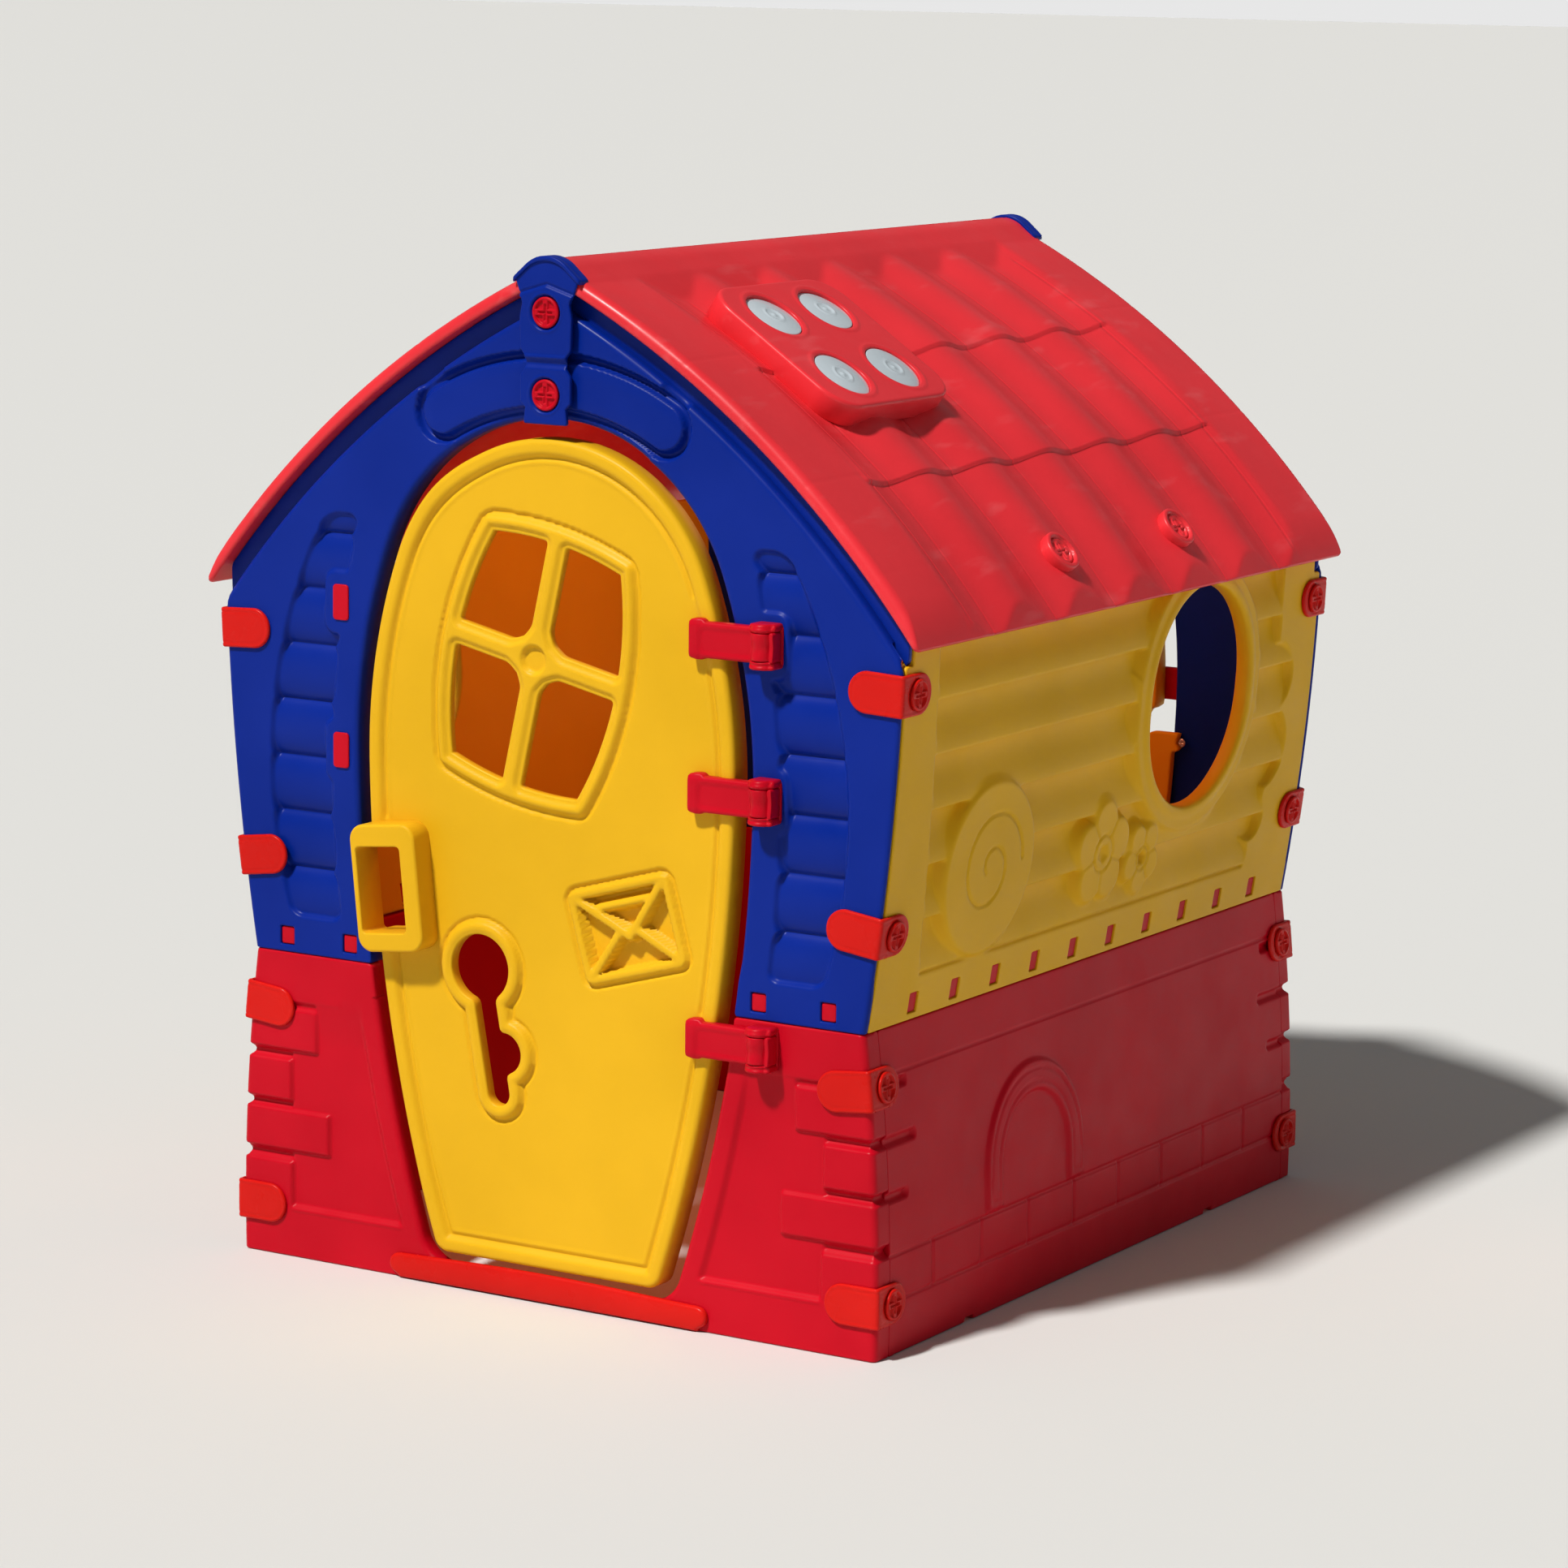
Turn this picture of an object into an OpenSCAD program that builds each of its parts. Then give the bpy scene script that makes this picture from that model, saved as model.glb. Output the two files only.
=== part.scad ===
// Child's plastic garden playhouse: bolted blow-moulded panels, barrel roof,
// front door, rear half panel and a pair of rear shutters.
// Millimetres, +Z up, origin at the centre of the footprint, door on the -Y face.

/* [Overall size] */
// length from the front face to the rear face
house_len = 944; // [900:2:980]
// width across the side walls at the ground
base_w = 802; // [780:1:816]
// width across the side walls at the colour joint
waist_w = 765; // [745:1:780]
// width across the side walls under the eaves
eave_w = 843; // [830:1:850]
// height of the joint between lower and upper panels
waist_h = 337; // [325:1:345]

/* [Panels] */
// thickness of the moulded skins
skin = 6; // [5:0.5:7]
// depth of the turned-in edge round the door opening
jamb_d = 18; // [14:1:20]
// depth of the recessed strip under the roof edge
channel_d = 12; // [8:1:14]
// number of locking tabs along each side wall
tab_n = 10; // [6:1:12]

/* [Roof] */
// radius of the outer roof surface
roof_r = 1141; // [1139:1:1143]
// thickness of the rolled roof border
roof_edge = 16; // [12:1:18]
// length of the roof
roof_len = 956; // [952:2:980]
// number of tile waves along the roof
wave_n = 7; // [5:2:9]

/* [Door] */
// clearance between the door and its opening
door_gap = 22; // [18:1:26]
// depth of the door edge
door_d = 28; // [20:1:30]
// radius of the hinge pins
pin_r = 4; // [3:0.5:5]

/* [Fittings] */
// length of each leg of a corner strap
strap_leg = 60; // [50:1:66]
// height of a corner strap
strap_h = 43; // [36:1:46]
// radius of the screw heads
head_r = 16; // [13:0.5:17]

/* [Part to build] */
// one node, or every node

/* [Hidden] */
$fn = 96;
yf = house_len / 2;
xb = base_w / 2;
xw = waist_w / 2;
xe = eave_w / 2;
eave_h = 736;
fit = 0.4;
gap = 0.25;
sill_h = 22;
// roof section centre, to the left of the ridge for the right half
rcx = -458;
rcz = 47.6;
r_step = roof_r - 38;
r_in = roof_r - roof_edge;
th_eave = 37.8;
// door outline: side, shoulder and crown arcs share tangents
side_c = [-1546, 590];
side_r = 1770;
sh_c = [-376.2, 570.2];
sh_r = 600;
cr_c = [0, 710.5];
cr_r = 198.5;
door_z0 = 36;
split_z = 520;
hinge_z = [722, 564, 310];
piv_x = 266;
piv_y = -487;
strap_z = [683, 437, 280, 57];
tab_z = 355;
tab_pitch = 760 / (tab_n - 1);
red = [0.78, 0.02, 0.08];
roofred = [0.84, 0.1, 0.13];
orange = [0.88, 0.08, 0.05];
blue = [0.01, 0.14, 0.55];
yellow = [0.92, 0.7, 0.08];
clearc = [0.85, 0.87, 0.88];
steel = [0.7, 0.7, 0.68];

// ---------------------------------------------------------------- helpers

module yext(y0, y1) {
    translate([0, y1, 0]) rotate([90, 0, 0]) linear_extrude(y1 - y0) children();
}

module xext(x0, x1) {
    translate([x0, 0, 0]) rotate([90, 0, 90]) linear_extrude(x1 - x0) children();
}

module rear() {
    rotate([0, 0, 180]) children();
}

module flip() {
    mirror([1, 0, 0]) children();
}

// rectangle given by its limits
module rect(x0, x1, y0, y1) {
    translate([x0, y0]) square([x1 - x0, y1 - y0]);
}

function arc_r(dx, dz, sag) = (dx * dx + dz * dz) / (8 * sag) + sag / 2;

// centre of an arc that bulges towards +X, from p to q with the given rise
function arc_c(p, q, sag) =
    let(dx = q[0] - p[0], dz = q[1] - p[1], l = sqrt(dx * dx + dz * dz), r = arc_r(dx, dz, sag))
    [(p[0] + q[0]) / 2 + dz / l * (sag - r), (p[1] + q[1]) / 2 - dx / l * (sag - r)];

low_c = arc_c([xb, 0], [xw, waist_h], 6.5);
low_r = arc_r(xw - xb, waist_h, 6.5);
up_c = arc_c([xw, waist_h], [xe, eave_h], 7);
up_r = arc_r(xe - xw, eave_h - waist_h, 7);

function low_x(z) = low_c[0] + sqrt(low_r * low_r - (z - low_c[1]) * (z - low_c[1]));
function up_x(z) = up_c[0] + sqrt(up_r * up_r - (z - up_c[1]) * (z - up_c[1]));
function side_x(z) = z < waist_h ? low_x(z) : up_x(z);
// lean of the side surface from vertical, in degrees, at height z
function lean(z) = z < waist_h ? asin((low_c[1] - z) / low_r) : asin((up_c[1] - z) / up_r);

// side wall section, from depth a to depth b below the outer surface
module low_band(a, b, z0, z1) {
    intersection() {
        difference() {
            translate(low_c) circle(low_r - a, $fn = 1440);
            translate(low_c) circle(low_r - b, $fn = 1440);
        }
        rect(100, 500, z0, z1);
    }
}

module up_band(a, b, z0, z1) {
    intersection() {
        difference() {
            translate(up_c) circle(up_r - a, $fn = 1440);
            translate(up_c) circle(up_r - b, $fn = 1440);
        }
        rect(100, 500, z0, z1);
    }
}

function sh_z(g) = side_c[1] + (side_r + g) * -0.01695;
function cr_z(g) = cr_c[1] + (cr_r + g) * 0.3494;

// egg outline of the door, grown by g
module egg(g, z0) {
    intersection() {
        translate(side_c) circle(side_r + g, $fn = 1440);
        translate([-side_c[0], side_c[1]]) circle(side_r + g, $fn = 1440);
        rect(-300, 300, z0, sh_z(g));
    }
    intersection() {
        translate(sh_c) circle(sh_r + g, $fn = 360);
        translate([-sh_c[0], sh_c[1]]) circle(sh_r + g, $fn = 360);
        rect(-300, 300, sh_z(g), cr_z(g));
    }
    intersection() {
        translate(cr_c) circle(cr_r + g, $fn = 180);
        rect(-300, 300, cr_z(g), 1000);
    }
}

function foot_x(g, r, z) = side_c[0] + sqrt((side_r + g - r) * (side_r + g - r) - (z - side_c[1]) * (z - side_c[1]));
function foot_a(g, r, z) = asin((z - side_c[1]) / (side_r + g - r));

// waste outside a rounded foot of the egg outline
module foot_cut(g, r, z0) {
    x = foot_x(g, r, z0 + r);
    a = foot_a(g, r, z0 + r);
    translate([x, z0 + r]) difference() {
        polygon([[0, 0], [40 * cos(a), 40 * sin(a)], [40, -r - 1], [0, -r - 1]]);
        circle(r, $fn = 48);
    }
}

module door_shape(g, r, z0) {
    difference() {
        egg(g, z0);
        foot_cut(g, r, z0);
        mirror([1, 0]) foot_cut(g, r, z0);
    }
}

// big cross-pattern screw, head top at z = 0, pointing up
module screw(len) {
    difference() {
        union() {
            translate([0, 0, -3.2]) cylinder(h = 3.2, r = head_r);
            translate([0, 0, -len]) cylinder(h = len - 3.2, r = 6);
        }
        for (a = [45, 135]) rotate([0, 0, a]) translate([-12, -1.6, -1.8]) cube([24, 3.2, 3]);
        for (a = [0, 90]) rotate([0, 0, a]) translate([-9, -3, -1]) cube([18, 6, 2]);
    }
}

// ---------------------------------------------------------------- gables

// scalloped shutter recess, grown by m
module shutter_area(m) {
    polygon([
        [247 - m, 800], [256 - m, 816 + m], [270 + m, 816 + m], [284 + m, 806], [312 + m, 768],
        [332 + m, 722], [347 + m, 674], [357 + m, 605], [355 + m, 520], [348 + m, 450],
        [338 + m, 392], [328 + m, 378 - m], [276 - m, 378 - m], [268 - m, 392], [274 - m, 470],
        [277 - m, 560], [275 - m, 661], [264 - m, 733]
    ]);
}

module slats() {
    for (k = [0:7]) translate([200, -424, 408 + 60.5 * k]) rotate([0, 90, 0])
        intersection() {
            cylinder(h = 200, r = 46);
            translate([-30.2, -50, -1]) cube([60.4, 12.5, 202]);
        }
}

// curved sign band beside the centre joint, grown by m
module sign_band(m) {
    intersection() {
        difference() {
            translate([0, 692]) circle(300 - 8 + m, $fn = 180);
            translate([0, 692]) circle(252 + 8 - m, $fn = 180);
        }
        polygon([[0, 692], [0, 1100], [233, 1100]]);
    }
    translate([0, 692]) rotate(-29.7) translate([0, 276]) circle(16 + m, $fn = 48);
}

module gable_face(z1) {
    intersection() {
        translate([rcx, rcz]) circle(z1, $fn = 360);
        translate(up_c) circle(up_r, $fn = 1440);
        rect(gap, 500, waist_h + 0.3, 1100);
    }
}

// what lies within the side wall's inner face
module inside_wall() {
    translate(up_c) circle(up_r - skin - 0.4, $fn = 1440);
}

// right half of a gable, front orientation
module gable_half() {
    difference() {
        union() {
            // front skin
            yext(-yf, -yf + skin) difference() {
                gable_face(r_step);
                egg(door_gap, 300);
            }
            // strip set back under the roof edge
            yext(-yf + channel_d, -yf + jamb_d) difference() {
                intersection() {
                    gable_face(r_in - 0.5);
                    inside_wall();
                }
                translate([rcx, rcz]) circle(r_step - 30, $fn = 360);
            }
            yext(-yf + skin, -yf + channel_d) difference() {
                intersection() {
                    gable_face(r_step);
                    inside_wall();
                }
                translate([rcx, rcz]) circle(r_step - 6, $fn = 360);
            }
            // turned-in edge of the opening
            yext(-yf + skin, -yf + jamb_d) difference() {
                intersection() {
                    egg(door_gap + 6, 300);
                    gable_face(r_step - 6);
                }
                egg(door_gap, 300);
            }
            // turned-in lower edge
            yext(-yf + skin, -yf + jamb_d) difference() {
                rect(226, up_x(waist_h + 5) - skin - 1, waist_h + 0.3, waist_h + 5);
                egg(door_gap + 5, 300);
            }
            // outer corner return
            yext(-yf + skin, -yf + 8) up_band(0, skin, waist_h + 0.3, 712);
            // back of the shutter recess
            yext(-yf + skin, -yf + 17) intersection() {
                shutter_area(5);
                gable_face(r_step - 6);
            }
        }
        yext(-yf - 1, -yf + 13) shutter_area(0);
        yext(-yf - 1, -yf + 4) difference() {
            sign_band(8);
            sign_band(0);
            rect(-10, 0.5, 900, 1050);
        }
        // windows and slots for the locking tabs of the lower panel
        for (x = [257, 340]) {
            translate([x - 9, -yf - 1, tab_z - 10]) cube([18, 30, 20]);
            translate([x - 14.4, -yf + skin, waist_h]) cube([28.8, 5.4, 8]);
        }
        // hinge or plug sockets
        for (k = [0, 1]) translate([piv_x - 7, -yf - 1, hinge_z[k] - 16]) cube([14, 24, 32]);
    }
    // convex slats of the shutter
    intersection() {
        yext(-yf + 0.8, -yf + 14) shutter_area(0);
        translate([0, 472 - yf, 0]) slats();
        yext(-yf, -yf + 20) difference() {
            rect(200, 400, 300, 900);
            for (k = [0, 1]) rect(piv_x - 7, piv_x + 7, hinge_z[k] - 16, hinge_z[k] + 16);
        }
    }
}

module gable_front_right() {
    color(blue) gable_half();
}

module gable_front_left() {
    color(blue) flip() gable_half();
}

module gable_rear_right() {
    color(blue) rear() flip() gable_half();
}

module gable_rear_left() {
    color(blue) rear() gable_half();
}

// ---------------------------------------------------------------- lower front and rear panels

module base_face() {
    difference() {
        intersection() {
            translate(low_c) circle(low_r, $fn = 1440);
            rect(gap, 500, 0, waist_h);
        }
        door_shape(door_gap, 26, sill_h);
    }
}

module base_half() {
    difference() {
        union() {
            yext(-yf, -yf + skin) base_face();
            // turned-in edge of the opening
            yext(-yf + skin, -yf + jamb_d) difference() {
                intersection() {
                    door_shape(door_gap + 6, 30, sill_h - 6);
                    rect(gap, 400, 0, waist_h);
                }
                door_shape(door_gap, 26, sill_h);
            }
            // outer corner return
            yext(-yf + skin, -yf + 27) low_band(0, skin, 0, waist_h);
            // turned-in upper edge
            yext(-yf + skin, -yf + jamb_d) difference() {
                rect(226, low_x(waist_h - 5) - 1, waist_h - 5, waist_h);
                door_shape(door_gap + 5, 30, sill_h);
            }
            // locking tabs that rise behind the gable
            for (x = [257, 340]) {
                translate([x - 14, -yf + skin, waist_h - 20]) cube([28, 5, 54]);
                translate([x - 8.6, -yf + 1.5, tab_z - 9.6]) cube([17.2, skin, 19.2]);
            }
        }
        // quoin joints on the corner
        for (z = [112, 166, 225]) {
            translate([350, -yf - 1, z - 3.5]) cube([80, 2.5, 7]);
            translate([low_x(z) - 1.5, -yf - 1, z - 3.5]) cube([20, 40, 7]);
        }
        // low bead line
        translate([213, -yf - 1, 66]) cube([150, 2, 4]);
        // lowest hinge socket
        translate([piv_x - 7, -yf - 1, hinge_z[2] - 16]) cube([14, 20, 32]);
    }
}

module base_front_right() {
    color(red) base_half();
}

module base_front_left() {
    color(red) flip() base_half();
}

module base_rear_right() {
    color(red) rear() flip() base_half();
}

module base_rear_left() {
    color(red) rear() base_half();
}

// ---------------------------------------------------------------- side walls

win_y = 180;
win_z = 603;

module oval(m) {
    translate([win_y, win_z - 8]) circle(115 + m, $fn = 120);
    translate([win_y, win_z + 8]) circle(115 + m, $fn = 120);
    translate([win_y - 115 - m, win_z - 8]) square([230 + 2 * m, 16]);
}

board_z = [384, 441, 498, 555, 612, 669, 726];

// waste in front of one clapboard, which is deepest at its top edge
module board_cut(z0, z1) {
    zm = (z0 + z1) / 2;
    a = 3.1 - lean(zm);
    difference() {
        rect(300, 460, z0, z1);
        translate([up_x(zm) - 2 - up_r * cos(a), zm - up_r * sin(a)]) circle(up_r, $fn = 1440);
    }
}

module wall_side() {
    difference() {
        union() {
            difference() {
                yext(-yf + 8.3, yf - 8.3) up_band(0, skin, waist_h + 0.3, eave_h);
                yext(-390, 356) for (k = [0:5]) board_cut(board_z[k], board_z[k + 1]);
            }
            // stepped rim round the window
            intersection() {
                xext(340, 460) oval(26);
                yext(-yf, yf) up_band(-2.5, skin, waist_h + 5, eave_h);
            }
            intersection() {
                xext(340, 460) oval(11);
                yext(-yf, yf) up_band(-5, skin + 8, waist_h + 5, eave_h);
            }
            // raised shell and flowers
            intersection() {
                union() {
                    xext(340, 460) {
                        translate([-262, 478]) circle(84, $fn = 96);
                        for (a = [0:72:288])
                            translate([0 + 34 * cos(a + 18), 452 + 34 * sin(a + 18)]) circle(24, $fn = 48);
                        for (a = [0:72:288])
                            translate([86 + 24 * cos(a + 50), 434 + 24 * sin(a + 50)]) circle(17, $fn = 48);
                    }
                }
                yext(-yf, yf) up_band(-1.5, skin, waist_h + 20, eave_h);
            }
        }
        xext(340, 460) oval(0);
        // spiral line of the shell, as rings that share a tangent
        intersection() {
            xext(340, 460) {
                translate([-262, 478]) difference() {
                    circle(58, $fn = 96);
                    circle(54, $fn = 96);
                }
                translate([-256, 472]) difference() {
                    circle(30, $fn = 64);
                    circle(26, $fn = 64);
                }
                translate([0, 452]) difference() {
                    circle(26, $fn = 48);
                    circle(23, $fn = 48);
                }
                translate([86, 434]) difference() {
                    circle(18, $fn = 48);
                    circle(15.5, $fn = 48);
                }
            }
            yext(-yf, yf) up_band(-10, 0.5, waist_h + 20, eave_h);
        }
        for (k = [0:tab_n - 1]) translate([330, -380 + tab_pitch * k - 9, tab_z - 11]) cube([100, 18, 22]);
    }
}

module wall_right() {
    color(yellow) wall_side();
}

module wall_left() {
    color(yellow) rear() wall_side();
}

module base_side() {
    difference() {
        union() {
            yext(-yf + 27.3, yf - 27.3) low_band(0, skin, 0, waist_h);
            // tongues behind the wall, with bosses in its slots
            for (k = [0:tab_n - 1]) {
                translate([up_x(tab_z) - 14, -380 + tab_pitch * k - 14, waist_h - 22]) cube([5, 28, 56]);
                translate([up_x(tab_z) - 9, -380 + tab_pitch * k - 8.6, tab_z - 10.6]) cube([7.5, 17.2, 21.2]);
            }
            translate([xw - 12, -440, waist_h - 26]) cube([11, 880, 5]);
            // arched mouse-door relief
            intersection() {
                xext(340, 460) difference() {
                    union() {
                        translate([-143, 148]) circle(104, $fn = 96);
                        rect(-247, -39, 108, 148);
                    }
                    translate([-143, 148]) circle(72, $fn = 96);
                    rect(-215, -71, 100, 148);
                }
                yext(-yf, yf) low_band(-2, skin, 0, waist_h - 10);
            }
        }
        // course lines of the stonework
        intersection() {
            xext(340, 460) {
                rect(-500, 500, 103, 106.5);
                rect(-500, 500, 55, 58.5);
                rect(-430, 430, 289, 291);
                for (k = [0:7]) rect(-358 + 100.5 * k - 2, -358 + 100.5 * k + 2, 57, 105);
                for (s = [-1, 1], k = [0:2]) rect(s * 420 - 30 - 10 * k, s * 420 + 30, 160 + 57 * k, 163.5 + 57 * k);
            }
            yext(-yf, yf) low_band(-10, 1.6, -1, waist_h);
        }
        for (y = [-280, 262]) translate([380, y - 9, -1]) cube([40, 18, 5]);
    }
}

module base_right() {
    color(red) base_side();
}

module base_left() {
    color(red) rear() base_side();
}

// ---------------------------------------------------------------- roof

module roof_band(a, b, t0, t1) {
    intersection() {
        difference() {
            translate([rcx, rcz]) circle(roof_r - a, $fn = 360);
            translate([rcx, rcz]) circle(roof_r - b, $fn = 360);
        }
        translate([rcx, rcz]) polygon([
            [0, 0], [1400 * cos(t0), 1400 * sin(t0)],
            [1600 * cos((t0 + t1) / 2), 1600 * sin((t0 + t1) / 2)], [1400 * cos(t1), 1400 * sin(t1)]
        ]);
        rect(gap, 600, 600, 1200);
    }
}

lens_y = [-270, -168];
lens_a = [58.7, 53.65];
sky_y = -219;
sky_a = 56.17;

// stands at a point of the roof surface, +Z along its normal, +X down the slope
module on_roof(a, y) {
    translate([rcx, y, rcz]) rotate([0, 90 - a, 0]) translate([0, 0, roof_r]) children();
}

// one course of tile waves, raised by h at its lower edge
module tile_course(t0, t1, h) {
    translate([rcx, 0, rcz]) rotate([90, 0, 0]) rotate([0, 0, t0]) rotate_extrude(angle = t1 - t0, $fn = 360)
        intersection() {
            for (k = [-(wave_n - 1) / 2:(wave_n - 1) / 2])
                translate([roof_r - 90 + h, 128.5 * k]) circle(100, $fn = 96);
            translate([roof_r - 3, -460]) square([40, 920]);
        }
}

module sky_shape(m, h) {
    linear_extrude(h) {
        for (x = [-84, 84], y = [-94, 94]) translate([x, y]) circle(20 + m, $fn = 64);
        rect(-84, 84, -114 - m, 114 + m);
        rect(-104 - m, 104 + m, -94, 94);
    }
}

module roof_half() {
    difference() {
        union() {
            yext(-roof_len / 2, roof_len / 2) roof_band(0, 5, th_eave, 72);
            // rolled borders
            for (s = [-1, 1]) yext(s > 0 ? roof_len / 2 - 18 : -roof_len / 2, s > 0 ? roof_len / 2 : -roof_len / 2 + 18)
                roof_band(0, roof_edge, th_eave, 72);
            yext(-roof_len / 2, roof_len / 2) roof_band(0, roof_edge, th_eave, th_eave + 0.35);
            tile_course(55.7, 64.1, 5);
            tile_course(47.15, 55.7, 3.5);
            tile_course(38.9, 47.15, 2);
            // ridge roll
            yext(-435, 435) intersection() {
                translate([0, 1064.5]) circle(34);
                rect(gap, 60, 1040, 1200);
            }
            on_roof(sky_a, sky_y) translate([0, 0, -4]) sky_shape(0, 16);
            for (y = [-130, 130]) on_roof(40.7, y) {
                translate([0, 0, -4]) cylinder(h = 8, r = head_r + 7);
            }
        }
        for (a = lens_a, y = lens_y) on_roof(a, y) {
            translate([0, 0, -30]) cylinder(h = 60, r = 28);
            translate([0, 0, 6]) cylinder(h = 30, r = 32.3);
        }
        for (y = [-130, 130]) on_roof(40.7, y) {
            translate([0, 0, -30]) cylinder(h = 60, r = 6.3);
            translate([0, 0, 0.4]) cylinder(h = 20, r = head_r + 0.4);
        }
        // underside of the skylight block is open
        on_roof(sky_a, sky_y) translate([0, 0, -16]) sky_shape(-6, 18);
    }
}

module roof_right() {
    color(roofred) roof_half();
}

module roof_left() {
    color(roofred) rear() roof_half();
}

module lens() {
    difference() {
        union() {
            translate([0, 0, 6]) cylinder(h = 3, r = 32);
            translate([0, 0, -1]) cylinder(h = 7, r = 27.7);
            intersection() {
                translate([0, 0, 9 - 60]) sphere(r = 66, $fn = 96);
                translate([0, 0, 8.9]) cylinder(h = 20, r = 27.5);
            }
        }
        intersection() {
            translate([0, 0, 6 - 60]) sphere(r = 66, $fn = 96);
            translate([0, 0, -2]) cylinder(h = 20, r = 24);
        }
    }
}

module lens_set() {
    for (a = lens_a, y = lens_y) on_roof(a, y) lens();
}

module lenses_right() {
    color(clearc) lens_set();
}

module lenses_left() {
    color(clearc) rear() lens_set();
}

module roof_screws() {
    color(red) for (q = [0, 180]) rotate([0, 0, q])
        for (y = [-130, 130]) on_roof(40.7, y) translate([0, 0, 3.8]) screw(26);
}

// ---------------------------------------------------------------- centre straps and thresholds

module cap_band(a, b) {
    intersection() {
        difference() {
            union() {
                intersection() {
                    translate([rcx, rcz]) circle(roof_r + b, $fn = 360);
                    rect(-1, 42, 1000, 1200);
                }
                intersection() {
                    translate([-rcx, rcz]) circle(roof_r + b, $fn = 360);
                    rect(-42, 1, 1000, 1200);
                }
            }
            intersection() {
                translate([rcx, rcz]) circle(roof_r + a, $fn = 360);
                translate([-rcx, rcz]) circle(roof_r + a, $fn = 360);
            }
        }
        polygon([[-42, 1068], [-36, 1110], [36, 1110], [42, 1068], [0, 1000]]);
    }
}

module ridge_strap() {
    // cap over the roof edge
    yext(-roof_len / 2 - 5, -440) cap_band(fit, 5.4);
    yext(-roof_len / 2 - 5, -roof_len / 2 - fit) difference() {
        intersection() {
            translate([rcx, rcz]) circle(roof_r + 5.4, $fn = 360);
            translate([-rcx, rcz]) circle(roof_r + 5.4, $fn = 360);
            polygon([[0, 1030], [-30, 1048], [-42, 1068], [-36, 1110], [36, 1110], [42, 1068], [30, 1048]]);
        }
        translate([0, 1041]) circle(head_r + fit);
    }
    // body over the centre joint
    difference() {
        yext(-roof_len / 2 - 5, -yf) difference() {
            polygon([
                [-27, 928], [-24, 946], [-31, 950], [-31, 976], [-25, 982], [-24, 996], [-30, 1004],
                [-31, 1036], [-26, 1050], [26, 1050], [31, 1036], [30, 1004], [24, 996], [25, 982],
                [31, 976], [31, 950], [24, 946], [27, 928]
            ]);
            for (z = [957, 1041]) translate([0, z]) circle(6.3);
        }
        for (z = [957, 1041]) translate([0, -roof_len / 2 - 1.4, z]) rotate([90, 0, 0])
            cylinder(h = 20, r = head_r + fit);
    }
}

module ridge_strap_front() {
    color(blue) ridge_strap();
}

module ridge_strap_rear() {
    color(blue) rear() ridge_strap();
}

// the screw shanks stop in the strap
module strap_screws() {
    color(red) for (q = [0, 180], z = [957, 1041]) rotate([0, 0, q])
        translate([0, -roof_len / 2 - 4.7, z]) rotate([90, 0, 0]) screw(10.4);
}

module threshold() {
    difference() {
        union() {
            yext(-yf - 7, -yf) union() {
                rect(-190, 190, 5, 27);
                translate([-190, 16]) circle(11);
                translate([190, 16]) circle(11);
            }
            yext(-yf - 7, -yf + 14) difference() {
                rect(-120, 120, sill_h + 0.3, 27);
                translate([0, -2000]) circle(2022);
            }
        }
        translate([-220, -yf - 8, 26]) rotate([45, 0, 0]) translate([0, -2, -1]) cube([440, 4, 6]);
    }
}

module threshold_front() {
    color(orange) threshold();
}

module threshold_rear() {
    color(orange) rear() threshold();
}

// ---------------------------------------------------------------- corner straps

// front right corner strap, centred on its height
module corner_strap(z) {
    x = side_x(z) + 0.4;
    translate([x, -yf, z]) rotate([0, lean(z), 0]) difference() {
        union() {
            translate([-strap_leg + strap_h / 2, -5, -strap_h / 2]) cube([strap_leg - strap_h / 2 + 2, 5, strap_h]);
            translate([-strap_leg + strap_h / 2, 0, 0]) rotate([90, 0, 0]) cylinder(h = 5, r = strap_h / 2);
            translate([0, -2, -strap_h / 2]) cube([5, strap_leg - strap_h / 2, strap_h]);
            translate([0, strap_leg - 7 - strap_h / 2, 0]) rotate([0, 90, 0]) cylinder(h = 5, r = strap_h / 2);
            translate([-1, 0, -strap_h / 2]) intersection() {
                cylinder(h = strap_h, r = 6);
                translate([1, -10, 0]) cube([10, 10, strap_h]);
            }
        }
        translate([-1, 26, 0]) rotate([0, 90, 0]) cylinder(h = 20, r = 6.3);
        translate([3.5, 26, 0]) rotate([0, 90, 0]) cylinder(h = 20, r = head_r + fit);
    }
}

module corner_screw(z) {
    x = side_x(z) + 0.4;
    translate([x, -yf, z]) rotate([0, lean(z), 0]) translate([7, 26, 0]) rotate([0, 90, 0]) screw(7);
}

module strap_set() {
    for (z = strap_z) corner_strap(z);
}

module corner_screw_set() {
    for (z = strap_z) corner_screw(z);
}

module corner_straps_fr() {
    color(orange) strap_set();
}

module corner_straps_fl() {
    color(orange) flip() strap_set();
}

module corner_straps_rr() {
    color(orange) rear() flip() strap_set();
}

module corner_straps_rl() {
    color(orange) rear() strap_set();
}

module corner_screws_fr() {
    color(orange) corner_screw_set();
}

module corner_screws_fl() {
    color(orange) flip() corner_screw_set();
}

module corner_screws_rr() {
    color(orange) rear() flip() corner_screw_set();
}

module corner_screws_rl() {
    color(orange) rear() corner_screw_set();
}

// blanks in the unused hinge sockets of the front left gable
module socket_plugs() {
    color(red) flip() for (k = [0, 1]) translate([piv_x, -yf, hinge_z[k]]) {
        translate([-10, -2.5, -19]) cube([20, 2.5, 38]);
        translate([-6.6, 0, -15.6]) cube([13.2, 10, 31.2]);
    }
}

// ---------------------------------------------------------------- door

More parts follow.
